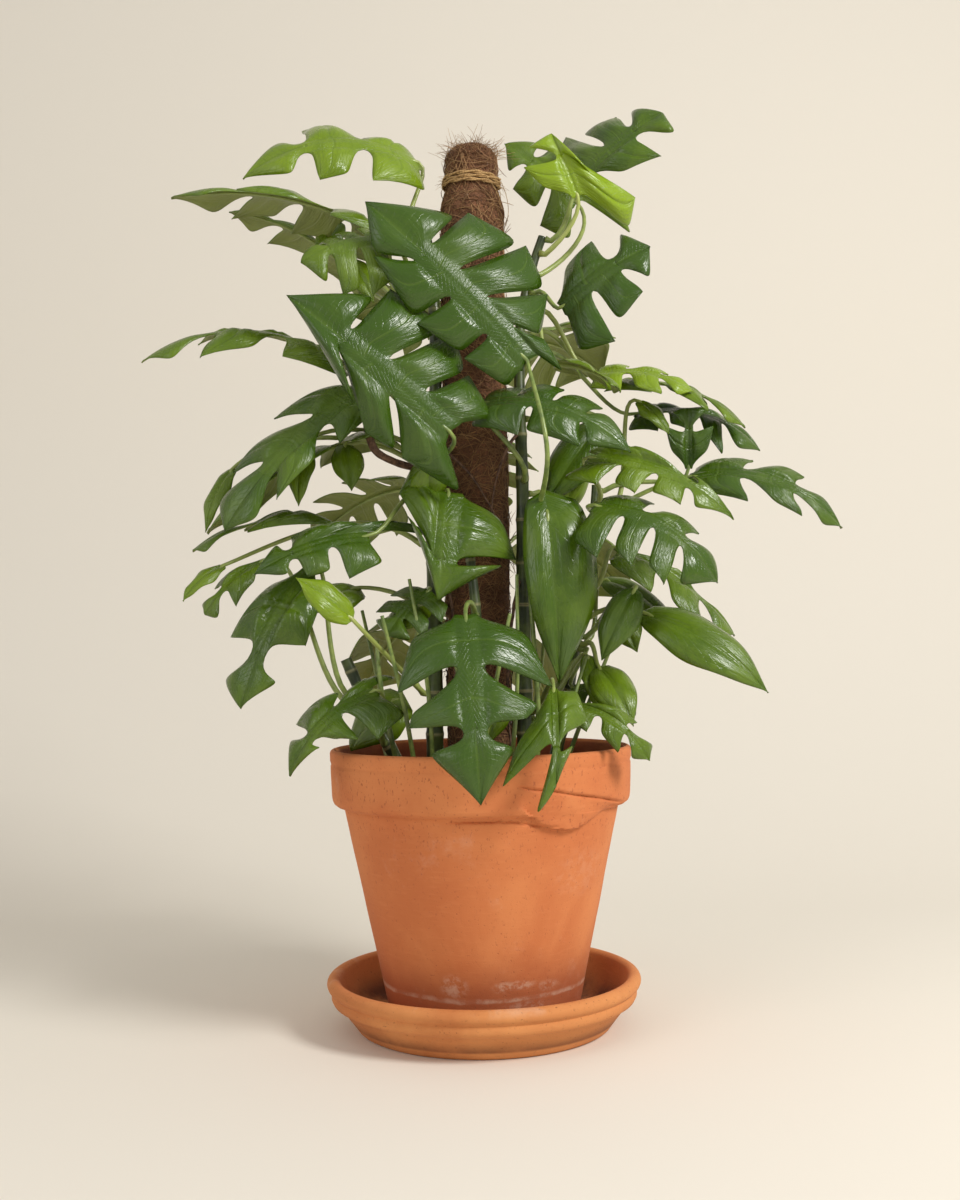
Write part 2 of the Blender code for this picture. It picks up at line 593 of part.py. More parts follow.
def blade_faces(leaf):
    """Flat outline of the blade as polygons of points, lobes cut down to near the rib."""
    length = (Vector(leaf.tip) - Vector(leaf.base)).length
    tip = (length, 0.0, 0.0)
    cuts = {LOBED_ZONE * i / max(count, 1) for count in leaf.lobes for i in range(count + 1)}
    faces = []
    for side, count in zip((-1, 1), leaf.lobes):
        if count == 0:
            steps = ENTIRE_STEPS
            rows = [[flat_place(leaf, side, along, across) for across in (0.0, 0.55, 1.0)]
                    for along in (0.0, *steps)]
            for row, following in zip(rows, rows[1:]):
                for i in range(2):
                    faces.append([row[i], row[i + 1], following[i + 1], following[i]])
            faces.append([rows[-1][0], rows[-1][1], tip])
            faces.append([rows[-1][1], rows[-1][2], tip])
            continue
        step = LOBED_ZONE / count
        for number in range(count):
            low, high = number * step, (number + 1) * step
            between = [cut for cut in sorted(cuts) if low + 1e-6 < cut < high - 1e-6]
            rib = [(cut * length, 0.0, 0.0) for cut in [low, *between, high]]
            rear = flat_place(leaf, side, low, SINUS[leaf.kind])
            front = flat_place(leaf, side, high, SINUS[leaf.kind])
            faces.append([*rib, front, rear])
            for out in LOBE_STEPS:
                next_rear = lobe_place(leaf, side, number, -1, out)
                next_front = lobe_place(leaf, side, number, 1, out)
                faces.append([rear, front, next_front, next_rear])
                rear, front = next_rear, next_front
            faces.append([rear, front, lobe_place(leaf, side, number, 1, 1.0)])
        inner = (LOBED_ZONE * length, 0.0, 0.0)
        edge = flat_place(leaf, side, LOBED_ZONE, SINUS[leaf.kind])
        for share in TERMINAL_STEPS:
            next_edge = terminal_place(leaf, side, share)
            next_inner = ((LOBED_ZONE + (1 - LOBED_ZONE) * share) * length, 0.0, 0.0)
            faces.append([inner, edge, next_edge, next_inner])
            inner, edge = next_inner, next_edge
        faces.append([inner, edge, tip])
    return faces


def blade_axes(leaf):
    """Along the chord of the rib, to its right, and out of the upper face."""
    chord = (Vector(leaf.tip) - Vector(leaf.base)).normalized()
    face = Vector(leaf.face)
    up = (face - face.dot(chord) * chord).normalized()
    return chord, chord.cross(up), up


def bent(leaf, place):
    """Moves a point of the flat blade to where the arched, folded blade has it."""
    along, across, lift = place
    chord, right, up = blade_axes(leaf)
    length = (Vector(leaf.tip) - Vector(leaf.base)).length
    share = along / length
    rise = 4 * leaf.arch * length
    rib = Vector(leaf.base) + chord * along + up * rise * share * (1 - share)
    forward = (chord * length + up * rise * (1 - 2 * share)).normalized()
    normal = right.cross(forward)
    reach = max(*leaf.halves, abs(across))
    tilt = math.radians(leaf.fold)
    drop = abs(across) * math.sin(tilt) - DROOP * across * across / reach
    return rib + right * across * math.cos(tilt) + normal * (drop + lift)


def blade(leaf, collection):
    """The blade: a flat cut outline, split into triangles, bent and then given its thickness."""
    shape = bmesh.new()
    for face in blade_faces(leaf):
        shape.faces.new([shape.verts.new(point) for point in face])
    bmesh.ops.remove_doubles(shape, verts=shape.verts, dist=0.01)
    bmesh.ops.recalc_face_normals(shape, faces=shape.faces)
    if shape.faces[0].normal.z < 0:
        bmesh.ops.reverse_faces(shape, faces=shape.faces)
    bmesh.ops.triangulate(shape, faces=shape.faces)
    for vertex in shape.verts:
        vertex.co = bent(leaf, vertex.co) * MM
    mesh = bpy.data.meshes.new("leaf_" + leaf.name)
    shape.to_mesh(mesh)
    shape.free()
    made = add_object("leaf_" + leaf.name, mesh, collection, leaf_green())
    thick = made.modifiers.new("thickness", "SOLIDIFY")
    thick.thickness = BLADE_THICKNESS * MM
    thick.offset = 0.0
    return made


def petiole_line(leaf):
    """From just off the stem, out and up to the blade's foot, then a little way along the rib."""
    place, direction, radius = stem_at(leaf.stem, leaf.height)
    base = Vector(leaf.base)
    away = Vector((place.x, place.y, 0.0)).normalized()
    out = (base - place).normalized() + 0.6 * away
    out = (out - out.dot(direction) * direction).normalized()
    start = place + out * (radius + GAP)
    shoulder = start + out * 4.0
    chord, _, up = blade_axes(leaf)
    rib_start = (chord + up * 4 * leaf.arch).normalized()
    reach = (base - shoulder).length
    first = shoulder + (out * 0.3 + Vector((0, 0, 0.25))) * reach
    second = base - rib_start * 0.3 * reach
    line = [start]
    if leaf.name in PETIOLE_VIA:
        line += smooth_line((shoulder, PETIOLE_VIA[leaf.name], base), 40.0)
    else:
        line += geometry.interpolate_bezier(shoulder, first, second, base, 4)
    for along in (0.08, 0.16):
        length = (Vector(leaf.tip) - base).length
        line.append(bent(leaf, (along * length, 0.0, 0.0)))
    return line


def leaf(leaf_row, collection):
    """One leaf: its blade joined with its stalk."""
    made = blade(leaf_row, collection)
    line = petiole_line(leaf_row)
    last = len(line) - 1
    radii = [PETIOLE_FOOT_RADIUS + (PETIOLE_TIP_RADIUS - PETIOLE_FOOT_RADIUS) * i / last
             for i in range(last + 1)]
    radii[-1] = 0.7
    stalk = tube("petiole_" + leaf_row.name, line, radii, 0, collection, None)
    join = made.modifiers.new("join", "BOOLEAN")
    join.operation = "UNION"
    join.object = stalk
    apply_booleans(made)
    bpy.data.objects.remove(stalk)
    shade(made.data)
    return made


def main():
    clear_scene()
    plant = new_collection("mini_monstera")
    cutters = new_collection("cutters")
    pot(plant)
    saucer(plant)
    soil(plant, cutters)
    pole(plant)
    for name in STEMS:
        stem(name, plant)
    for row in LEAVES:
        leaf(row, plant)


main()
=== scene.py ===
"""Mini monstera on a coir pole, in a terracotta pot on a terracotta saucer."""

import math
import random
from collections import namedtuple

import bmesh
import bpy
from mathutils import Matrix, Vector, geometry, noise


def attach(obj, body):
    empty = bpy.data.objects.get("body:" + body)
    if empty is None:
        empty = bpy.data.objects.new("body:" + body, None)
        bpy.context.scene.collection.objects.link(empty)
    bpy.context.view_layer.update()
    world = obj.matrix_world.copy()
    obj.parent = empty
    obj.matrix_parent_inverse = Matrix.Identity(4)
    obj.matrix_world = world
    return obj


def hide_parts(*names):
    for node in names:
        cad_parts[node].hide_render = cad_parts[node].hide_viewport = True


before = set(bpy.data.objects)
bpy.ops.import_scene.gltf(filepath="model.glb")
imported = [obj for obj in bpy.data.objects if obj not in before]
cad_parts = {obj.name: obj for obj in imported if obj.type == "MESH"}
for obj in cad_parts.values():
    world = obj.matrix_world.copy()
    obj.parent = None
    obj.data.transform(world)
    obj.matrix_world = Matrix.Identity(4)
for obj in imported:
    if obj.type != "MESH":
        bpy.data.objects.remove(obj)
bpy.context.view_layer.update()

MM = 0.001

# The picture: taken from the front at a little under half the plant's height, looking slightly
# up, with a long lens. Its frame is 960 by 1200, upright.
bpy.ops.object.select_all(action="DESELECT")
bpy.ops.object.camera_add(location=(0.0016, -1.055, 0.2878))
camera = bpy.context.object
camera.name = "camera"
camera.rotation_mode = "ZYX"
camera.rotation_euler = (math.radians(92.61), 0.0, math.radians(-0.92))
camera.data.sensor_fit = "VERTICAL"
camera.data.sensor_height = 36.0
camera.data.lens = 39.32
bpy.context.scene.camera = camera
bpy.context.scene.view_settings.view_transform = "Standard"

# The studio: a pale paper sweep, floor and wall in one sheet, in soft daylight. A large soft
# lamp stands to the right in front, so the shade falls to the left. The paper is seen through
# from behind.
def new_material(name, **values):
    """A material with its Principled shader's plain sockets set."""
    made = bpy.data.materials.new(name)
    made.use_nodes = True
    shader = made.node_tree.nodes["Principled BSDF"]
    for socket, value in values.items():
        shader.inputs[socket.replace("_", " ")].default_value = value
    return made, made.node_tree, shader


def mesh_object(name, points, edges=(), faces=()):
    """A new object at the origin from points in metres."""
    mesh = bpy.data.meshes.new(name)
    mesh.from_pydata(points, edges, faces)
    made = bpy.data.objects.new(name, mesh)
    bpy.context.scene.collection.objects.link(made)
    return made


def apply_modifiers(made):
    bpy.ops.object.select_all(action="DESELECT")
    bpy.context.view_layer.objects.active = made
    made.select_set(True)
    for modifier in list(made.modifiers):
        bpy.ops.object.modifier_apply(modifier=modifier.name)


sweep_radius, wall_at = 0.9, 1.35
section = [(0.0, -3.5, 0.0), (0.0, wall_at - sweep_radius, 0.0)]
for step in range(1, 13):
    turn = math.radians(90 * step / 12)
    section.append((0.0, wall_at - sweep_radius + sweep_radius * math.sin(turn),
                    sweep_radius * (1 - math.cos(turn))))
section.append((0.0, wall_at, 3.2))
backdrop = mesh_object(
    "paper_sweep",
    [(x, y, z) for x in (-3.5, 3.5) for _, y, z in section], [],
    [(i + 1, i, len(section) + i, len(section) + i + 1) for i in range(len(section) - 1)])
backdrop.data.shade_smooth()
paper, tree, shader = new_material("studio_paper", Base_Color=(0.80, 0.755, 0.675, 1.0),
                                   Roughness=0.9)
one_sided = tree.nodes.new("ShaderNodeMixShader")
tree.links.new(tree.nodes.new("ShaderNodeNewGeometry").outputs["Backfacing"], one_sided.inputs[0])
tree.links.new(shader.outputs[0], one_sided.inputs[1])
tree.links.new(tree.nodes.new("ShaderNodeBsdfTransparent").outputs[0], one_sided.inputs[2])
tree.links.new(one_sided.outputs[0], tree.nodes["Material Output"].inputs["Surface"])
backdrop.data.materials.append(paper)

world = bpy.data.worlds.new("daylight")
bpy.context.scene.world = world
world.use_nodes = True
world.node_tree.nodes["Background"].inputs["Color"].default_value = (1.0, 0.97, 0.93, 1.0)
world.node_tree.nodes["Background"].inputs["Strength"].default_value = 0.54


def soft_lamp(name, place, target, size, watts, colour):
    bpy.ops.object.light_add(type="AREA", location=place)
    lamp = bpy.context.object
    lamp.name = name
    lamp.data.shape = "DISK"
    lamp.data.size = size
    lamp.data.energy = watts
    lamp.data.color = colour
    lamp.rotation_euler = (Vector(target) - Vector(place)).to_track_quat("-Z", "Y").to_euler()


soft_lamp("window_right", (1.5, -1.2, 1.55), (0.0, 0.0, 0.35), 0.75, 42.0, (1.0, 0.985, 0.95))
soft_lamp("fill_left", (-1.7, -1.6, 1.1), (0.0, 0.0, 0.35), 1.4, 9.0, (1.0, 0.99, 0.97))


# Saucer: a thrown or pressed clay dish, fired unglazed. Its wall flares from a flat floor to a
# stepped band and a rolled lip, which is worn paler where the pot is lifted in and out.
def arc(centre, radius, start, end, steps):
    """Points of a round stretch of a profile, from one angle in degrees to another."""
    angles = [math.radians(start + (end - start) * i / steps) for i in range(steps + 1)]
    return [(centre[0] + radius * math.cos(a), centre[1] + radius * math.sin(a)) for a in angles]


def turned(name, profile, steps, longest=0):
    """Turns a profile of (radius, height) points in millimetres about the vertical axis.

    Where longest is given, edges of the profile that are longer are cut up first."""
    points = [(radius * MM, 0.0, height * MM) for radius, height in profile]
    made = mesh_object(name, points, [(i, i + 1) for i in range(len(points) - 1)])
    line = bmesh.new()
    line.from_mesh(made.data)
    if profile[0][0] > 0 or profile[-1][0] > 0:
        line.verts.ensure_lookup_table()
        line.edges.new((line.verts[-1], line.verts[0]))
    if longest:
        for edge in [edge for edge in line.edges if edge.calc_length() > longest * MM]:
            bmesh.ops.subdivide_edges(line, edges=[edge],
                                      cuts=int(edge.calc_length() / (longest * MM)))
    line.to_mesh(made.data)
    line.free()
    screw = made.modifiers.new("turn", "SCREW")
    screw.steps = screw.render_steps = steps
    screw.use_merge_vertices = True
    screw.merge_threshold = 0.00002
    apply_modifiers(made)
    made.data.shade_smooth()
    return made


def finish_piece(made, material, slot, *nodes):
    """Gives a piece its finish and hides the solids that it stands for. slot is not used."""
    if material:
        made.data.materials.clear()
        made.data.materials.append(material)
    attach(made, "root")
    if nodes:
        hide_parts(*nodes)


def sharp_edges(made, degrees):
    made.data.set_sharp_from_angle(angle=math.radians(degrees))


saucer_radius, saucer_foot, saucer_height, saucer_floor, lip_roll = 124.0, 99.0, 41.0, 8.0, 5.4
saucer = turned("clay_saucer", [
    *arc((saucer_radius - lip_roll, saucer_height - lip_roll), lip_roll, 150, -60, 14),
    *[(saucer_radius - inward, saucer_height - down) for inward, down in (
        (4.0, 11.6), (3.4, 13.6), (3.5, 16.4), (4.8, 19.0), (7.4, 20.4), (10.0, 21.4))],
    (saucer_foot + 2.6, 3.4),
    (saucer_foot + 1.2, 1.4),
    (saucer_foot - 1.5, 0.0),
    (0.0, 0.0),
    (0.0, saucer_floor),
    (saucer_foot - 8.0, saucer_floor),
    (saucer_foot - 3.6, saucer_floor + 1.0),
    (saucer_foot, saucer_floor + 4.0),
    *[(saucer_radius - inward, saucer_height - down) for inward, down in (
        (17.5, 20.0), (13.6, 12.0), (11.4, 6.4))],
], 160, 9)

clay_group = bpy.data.node_groups.new("fired_clay", "ShaderNodeTree")
for socket, kind in (("Clay", "NodeSocketColor"), ("Pale", "NodeSocketColor"),
                     ("Dark", "NodeSocketColor"), ("Damp", "NodeSocketFloat"),
                     ("Salt", "NodeSocketFloat")):
    clay_group.interface.new_socket(socket, in_out="INPUT", socket_type=kind)
for socket, kind in (("Colour", "NodeSocketColor"), ("Roughness", "NodeSocketFloat"),
                     ("Height", "NodeSocketFloat")):
    clay_group.interface.new_socket(socket, in_out="OUTPUT", socket_type=kind)


def add_node(tree, kind, links=(), **settings):
    """A node with its settings, and inputs given by number as values or as sockets."""
    node = tree.nodes.new(kind)
    for key, value in settings.items():
        setattr(node, key, value)
    for number, value in links:
        if isinstance(value, bpy.types.NodeSocket):
            tree.links.new(value, node.inputs[number])
        else:
            node.inputs[number].default_value = value
    return node


def add_noise(tree, vector, scale, detail=4.0, rough=0.55, distort=0.0):
    node = add_node(tree, "ShaderNodeTexNoise", ((0, vector),))
    node.inputs["Scale"].default_value = scale
    node.inputs["Detail"].default_value = detail
    node.inputs["Roughness"].default_value = rough
    node.inputs["Distortion"].default_value = distort
    return node.outputs["Fac"]


def add_range(tree, value, low, high, to_low=0.0, to_high=1.0):
    """Maps a value smoothly from one range to another."""
    node = add_node(tree, "ShaderNodeMapRange", ((0, value), (1, low), (2, high), (3, to_low),
                                                 (4, to_high)), interpolation_type="SMOOTHSTEP")
    return node.outputs[0]


def add_math(tree, operation, *values):
    return add_node(tree, "ShaderNodeMath", tuple(enumerate(values)), operation=operation).outputs[0]


def add_mix(tree, share, first, second):
    """A colour mix. first and second are sockets or plain red, green and blue."""
    first, second = ((*value, 1.0) if isinstance(value, tuple) else value
                     for value in (first, second))
    return add_node(tree, "ShaderNodeMix", ((0, share), (6, first), (7, second)),
                    data_type="RGBA").outputs[2]


def add_mapping(tree, vector, scale, place=(0, 0, 0)):
    node = add_node(tree, "ShaderNodeMapping", ((0, vector),))
    node.inputs["Location"].default_value = place
    node.inputs["Scale"].default_value = scale
    return node.outputs[0]


def object_space(tree):
    return tree.nodes.new("ShaderNodeTexCoord").outputs["Object"]


def attribute(tree, name):
    return add_node(tree, "ShaderNodeAttribute", attribute_name=name).outputs["Fac"]


def paint(tree, shader, colour, height, strength, distance):
    """Gives a shader its colour, and a height as its fine relief."""
    node = add_node(tree, "ShaderNodeBump")
    node.inputs["Strength"].default_value = strength
    node.inputs["Distance"].default_value = distance
    tree.links.new(height, node.inputs["Height"])
    tree.links.new(node.outputs[0], shader.inputs["Normal"])
    tree.links.new(colour, shader.inputs["Base Color"])


SALT_COLOUR = (0.74, 0.5, 0.36)
tree = clay_group
inlet = tree.nodes.new("NodeGroupInput").outputs
outlet = tree.nodes.new("NodeGroupOutput").inputs
where = object_space(tree)
cloud = add_noise(tree, where, 9.0, 5.0, 0.6, 0.6)
grit = add_noise(tree, where, 420.0, 3.0, 0.6)
fine = add_noise(tree, where, 1300.0, 2.0, 0.6)
drag = add_noise(tree, add_mapping(tree, where, (60.0, 60.0, 420.0)), 1.0, 3.0, 0.6)
colour = add_mix(tree, add_range(tree, cloud, 0.35, 0.7), inlet["Clay"], inlet["Pale"])
colour = add_mix(tree, add_range(tree, drag, 0.5, 0.8, 0.0, 0.35), colour, inlet["Pale"])
scratch = add_noise(tree, add_mapping(tree, where, (520.0, 520.0, 230.0)), 1.0, 3.0, 0.6)
level = add_node(tree, "ShaderNodeSeparateXYZ", ((0, where),)).outputs[2]
nick = add_math(tree, "MULTIPLY", add_range(tree, scratch, 0.61, 0.68),
                add_range(tree, level, 0.11, 0.185, 0.25, 1.0))
colour = add_mix(tree, add_range(tree, grit, 0.64, 0.72, 0.0, 0.5), colour, inlet["Dark"])
colour = add_mix(tree, add_math(tree, "MULTIPLY", nick, 0.55), colour, inlet["Dark"])
colour = add_mix(tree, add_range(tree, fine, 0.62, 0.8, 0.0, 0.35), colour, inlet["Pale"])
colour = add_mix(tree, inlet["Damp"], colour, inlet["Dark"])
colour = add_mix(tree, inlet["Salt"], colour, SALT_COLOUR)
tree.links.new(colour, outlet["Colour"])
tree.links.new(add_range(tree, cloud, 0.3, 0.7, 0.78, 0.92), outlet["Roughness"])
pits = add_range(tree, grit, 0.60, 0.78, 1.0, 0.0)
pits = add_math(tree, "SUBTRACT", pits, nick)
height = add_math(tree, "ADD", add_math(tree, "MULTIPLY", pits, 0.6),
                  add_math(tree, "ADD", add_math(tree, "MULTIPLY", drag, 0.3),
                           add_math(tree, "MULTIPLY", fine, 0.25)))
tree.links.new(height, outlet["Height"])


def clay_material(name, clay, pale, dark, damp, salt):
    """Fired clay. damp and salt build masks from a tree, its object coordinates and height."""
    made, tree, shader = new_material(name)
    group = tree.nodes.new("ShaderNodeGroup")
    group.node_tree = clay_group
    for socket, value in (("Clay", clay), ("Pale", pale), ("Dark", dark)):
        group.inputs[socket].default_value = (*value, 1.0)
    where = object_space(tree)
    level = add_node(tree, "ShaderNodeSeparateXYZ", ((0, where),)).outputs[2]
    tree.links.new(damp(tree, where, level), group.inputs["Damp"])
    tree.links.new(salt(tree, where, level), group.inputs["Salt"])
    tree.links.new(group.outputs["Roughness"], shader.inputs["Roughness"])
    paint(tree, shader, group.outputs["Colour"], group.outputs["Height"], 0.55, 0.0006)
    return made


def radius_mask(tree, where, low, high):
    """1 within a radius of the vertical axis and 0 outside, in metres."""
    flat = add_node(tree, "ShaderNodeVectorMath", ((0, where), (1, (1.0, 1.0, 0.0))),
                    operation="MULTIPLY").outputs[0]
    reach = add_node(tree, "ShaderNodeVectorMath", ((0, flat),), operation="LENGTH").outputs[1]
    return add_range(tree, reach, low, high, 1.0, 0.0)


def saucer_damp(tree, where, level):
    inside = radius_mask(tree, where, 0.100, 0.113)
    above = add_range(tree, level, 0.005, 0.0075)
    stain = add_range(tree, add_noise(tree, where, 30.0, 4.0, 0.6), 0.3, 0.6, 0.45, 0.95)
    return add_math(tree, "MULTIPLY", add_math(tree, "MULTIPLY", inside, above), stain)


def saucer_salt(tree, where, level):
    worn = add_range(tree, add_noise(tree, where, 24.0, 4.0, 0.7), 0.52, 0.68)
    lip = add_range(tree, level, 0.034, 0.040)
    return add_math(tree, "MULTIPLY", add_math(tree, "MULTIPLY", worn, lip), 0.28)


saucer_finish = clay_material("saucer_clay_fired", (0.52, 0.175, 0.048), (0.66, 0.27, 0.088),
                              (0.12, 0.035, 0.012), saucer_damp, saucer_salt)
sharp_edges(saucer, 50)
finish_piece(saucer, saucer_finish, "saucer_clay", "saucer")


# Pot: pressed clay, fired unglazed, with a thick band round its rim. Water from the saucer has
# darkened its foot and left a white salt line, and a fold of clay was smeared under the band
# to the right of the front when it was pressed.
pot_radius, pot_wall, pot_floor, drain = 120.0, 6.5, 10.0, 9.0
foot_radius, shoulder_radius = 74.0, 109.0
pot_foot = saucer_floor + 0.3
pot_rim = pot_foot + 210.5
shoulder = pot_rim - 44.5
lip = pot_wall / 2


def pot_inner_radius(level):
    """Radius of the pot's inner wall at a height above the floor that the plant stands on."""
    floor = pot_foot + pot_floor
    if level >= shoulder + 4.0:
        return pot_radius - pot_wall - 1.0
    share = max(0.0, (level - floor) / (shoulder - 4.0 - floor))
    low = foot_radius - pot_wall
    slope = low + min(share, 1.0) * (shoulder_radius - pot_wall - low)
    over = min(max((level - shoulder + 4.0) / 8.0, 0.0), 1.0)
    return slope + over * (pot_radius - pot_wall - 1.0 - slope)


inner_floor = pot_foot + pot_floor
folded = 158.0
foot_share = (folded - pot_foot - 4.0) / (shoulder - 5.6 - pot_foot)
outer_wall = [
    *arc((pot_radius - lip, pot_rim - lip), lip, 90, 0, 7),
    *[(pot_radius - inward, pot_rim - down) for inward, down in (
        (0.1, 8.6), (0.7, 10.2), (1.0, 11.6), (0.5, 13.0), (0.6, 18.0))],
    *[(pot_radius - inward, shoulder + up) for inward, up in (
        (1.4, 8.0), (1.9, 4.6), (3.0, 2.2), (5.2, 0.5), (7.6, 0.0))],
    (shoulder_radius + 1.4, shoulder - 0.2),
    (shoulder_radius, shoulder - 1.6),
    (foot_radius + 0.9 + foot_share * (shoulder_radius - foot_radius - 0.9), folded),
    (foot_radius + 0.9, pot_foot + 4.0),
    (foot_radius + 0.2, pot_foot + 1.6),
    (foot_radius - 2.4, pot_foot),
]
profile = []
for near, far in zip(outer_wall, outer_wall[1:]):
    finest = 0.85 if far[1] >= folded and near[1] <= pot_rim - 12.0 else 3.4
    count = math.ceil(math.dist(near, far) / finest)
    profile += [(near[0] + (far[0] - near[0]) * i / count, near[1] + (far[1] - near[1]) * i / count)
                for i in range(count)]
pot = turned("clay_pot", [
    *profile,
    outer_wall[-1],
    (drain, pot_foot),
    (drain, inner_floor),
    (pot_inner_radius(inner_floor) - 3.0, inner_floor),
    (pot_inner_radius(inner_floor + 3.0), inner_floor + 3.0),
    (pot_inner_radius(shoulder - 4.0), shoulder - 4.0),
    (pot_inner_radius(shoulder + 4.0), shoulder + 4.0),
    (pot_radius - pot_wall, pot_rim - lip),
], 300, 8)


def bell(value, middle, spread):
    return math.exp(-((value - middle) / spread) ** 2)


def ramp(value, low, high):
    share = min(max((value - low) / (high - low), 0.0), 1.0)
    return share * share * (3 - 2 * share)


for vertex in pot.data.vertices:
    place = vertex.co
    radius = math.hypot(place.x, place.y) / MM
    level = place.z / MM
    if radius < pot_inner_radius(level) + 1.5 or level < pot_foot + 1.0:
        continue
    angle = math.degrees(math.atan2(place.y, place.x))
    over = ramp(angle, -79.0, -72.0) * (1 - ramp(angle, -28.0, -19.0))
    ledge = 194.8 - 0.357 * (angle + 70.6) + 0.8 * noise.noise(Vector((angle * 0.12, 5.0, 0.0)))
    lower = 165.0 - 2.0 * bell(angle, -54.0, 6.0) + 10.0 * ramp(angle, -52.0, -30.0)
    lower += 0.9 * noise.noise(Vector((angle * 0.5, 9.0, 0.0))) + 20.0 * (1 - ramp(angle, -80.0, -63.0))
    push = 0.22 * noise.noise(place * 28.0) + 0.12 * noise.noise(place * 90.0)
    if lower - 1.5 < level < ledge:
        share = min(max((ledge - level) / max(ledge - lower, 1.0), 0.0), 1.0)
        smear = pot_radius - 2.6 - 4.6 * share**1.6 + 1.3 * noise.noise(place * 55.0)
        push += over * ramp(level, lower - 1.5, lower + 0.4) * (smear - radius)
    push -= 1.5 * over * bell(level, ledge - 0.3, 1.1)
    crack = ramp(angle, -106.0, -98.0) * (1 - ramp(angle, -63.0, -58.0))
    jag = 171.2 - 5.5 * ramp(angle, -82.0, -62.0) + 1.5 * noise.noise(Vector((angle * 0.45, 0, 0)))
    push -= 1.8 * crack * bell(level, jag, 0.9)
    scale = 1 + push / radius
    place.x *= scale
    place.y *= scale


def pot_damp(tree, where, level):
    rise = add_math(tree, "MULTIPLY", add_noise(tree, where, 14.0, 4.0, 0.6), 0.05)
    foot = add_range(tree, add_math(tree, "SUBTRACT", level, rise), -0.004, 0.05, 0.62, 0.0)
    inside = radius_mask(tree, where, 0.1135, 0.1155)
    above = add_range(tree, level, 0.186, 0.2)
    stain = add_range(tree, add_noise(tree, where, 40.0, 4.0, 0.6), 0.3, 0.7, 0.5, 0.85)
    return add_math(tree, "MAXIMUM", foot, add_math(tree, "MULTIPLY",
                    add_math(tree, "MULTIPLY", inside, above), stain))


def blob(tree, where, centre, reach):
    """1 near a place on a piece and 0 away from it. centre and reach are in metres."""
    off = add_node(tree, "ShaderNodeVectorMath", ((0, where), (1, centre)),
                   operation="SUBTRACT").outputs[0]
    flat = add_node(tree, "ShaderNodeVectorMath", ((0, off), (1, tuple(1 / a for a in reach))),
                    operation="MULTIPLY").outputs[0]
    far = add_node(tree, "ShaderNodeVectorMath", ((0, flat),), operation="LENGTH").outputs[1]
    return add_range(tree, far, 0.35, 1.0, 1.0, 0.0)


# Places of the salt patches: centre, reach, strength
SALT_PATCHES = (
    ((-0.022, -0.073, 0.048), (0.014, 0.03, 0.012), 0.75),
    ((0.015, -0.074, 0.047), (0.012, 0.03, 0.006), 0.8),
    ((0.026, -0.071, 0.048), (0.016, 0.03, 0.005), 0.7),
    ((0.046, -0.059, 0.045), (0.014, 0.03, 0.006), 0.5),
    ((0.030, -0.067, 0.031), (0.024, 0.03, 0.006), 0.5),
    ((0.075, -0.067, 0.128), (0.034, 0.05, 0.024), 0.16),
)


def pot_salt(tree, where, level):
    drift = add_math(tree, "MULTIPLY", add_noise(tree, where, 22.0, 4.0, 0.6), 0.008)
    height = add_math(tree, "SUBTRACT", level, drift)
    line = add_math(tree, "MULTIPLY", add_range(tree, height, 0.0305, 0.0322),
                    add_range(tree, height, 0.0328, 0.036, 1.0, 0.0))
    patchy = add_range(tree, add_noise(tree, where, 60.0, 5.0, 0.7), 0.42, 0.62, 0.08, 0.5)
    salt = add_math(tree, "MULTIPLY", line, patchy)
    crust = add_range(tree, add_noise(tree, where, 150.0, 4.0, 0.75), 0.40, 0.62, 0.0, 0.62)
    for centre, reach, strength in SALT_PATCHES:
        spot = add_math(tree, "MULTIPLY", blob(tree, where, centre, reach),
                        add_math(tree, "MULTIPLY", crust, strength))
        salt = add_math(tree, "MAXIMUM", salt, spot)
    bloom = add_range(tree, add_noise(tree, where, 13.0, 6.0, 0.75), 0.58, 0.80, 0.0, 0.30)
    return add_math(tree, "MAXIMUM", salt, bloom)


pot_finish = clay_material("terracotta_fired", (0.55, 0.155, 0.045), (0.66, 0.23, 0.078),
                           (0.30, 0.062, 0.024), pot_damp, pot_salt)
sharp_edges(pot, 50)
finish_piece(pot, pot_finish, "terracotta", "pot")


# Soil: loose potting mix of peat, bark and coir, a few fingers below the rim. Crumbs lie on it,
# and a few have washed out into the saucer.
soil_level = 188.0
soil_edge = pot_inner_radius(soil_level) - 0.5
soil = turned("potting_mix", [
    (soil_edge, soil_level - 2.0),
    (pot_inner_radius(shoulder - 4.0) - 1.2, shoulder - 4.0),
    (pot_inner_radius(inner_floor + 3.0) - 1.2, inner_floor + 3.0),
    (pot_inner_radius(inner_floor) - 4.0, inner_floor + 0.3),
    (0.0, inner_floor + 0.3),
    (0.0, soil_level),
    *[(soil_edge * i / 44, soil_level) for i in range(1, 44)],
], 150)
for vertex in soil.data.vertices:
    if vertex.co.z > (soil_level - 1.0) * MM:
        vertex.co.z += MM * (2.4 * noise.noise(vertex.co * 45.0) + 1.3 * noise.noise(vertex.co * 110.0)
                             + 1.3 * noise.noise(vertex.co * 330.0))


def crumb(shape, centre, size, rng):
    """A small lump: an icosphere squashed, turned and dented at random."""
    made = bmesh.ops.create_icosphere(shape, subdivisions=1, radius=size * MM)
    stretch = Vector((rng.uniform(0.7, 1.5), rng.uniform(0.6, 1.1), rng.uniform(0.45, 0.8)))
    turn = Vector((1, 0, 0)).rotation_difference(Vector((rng.uniform(-1, 1), rng.uniform(-1, 1),
                                                         rng.uniform(-0.3, 0.3))))
    for vertex in made["verts"]:
        dented = vertex.co * rng.uniform(0.8, 1.2)
        vertex.co = centre + turn @ Vector([a * b for a, b in zip(dented, stretch)])


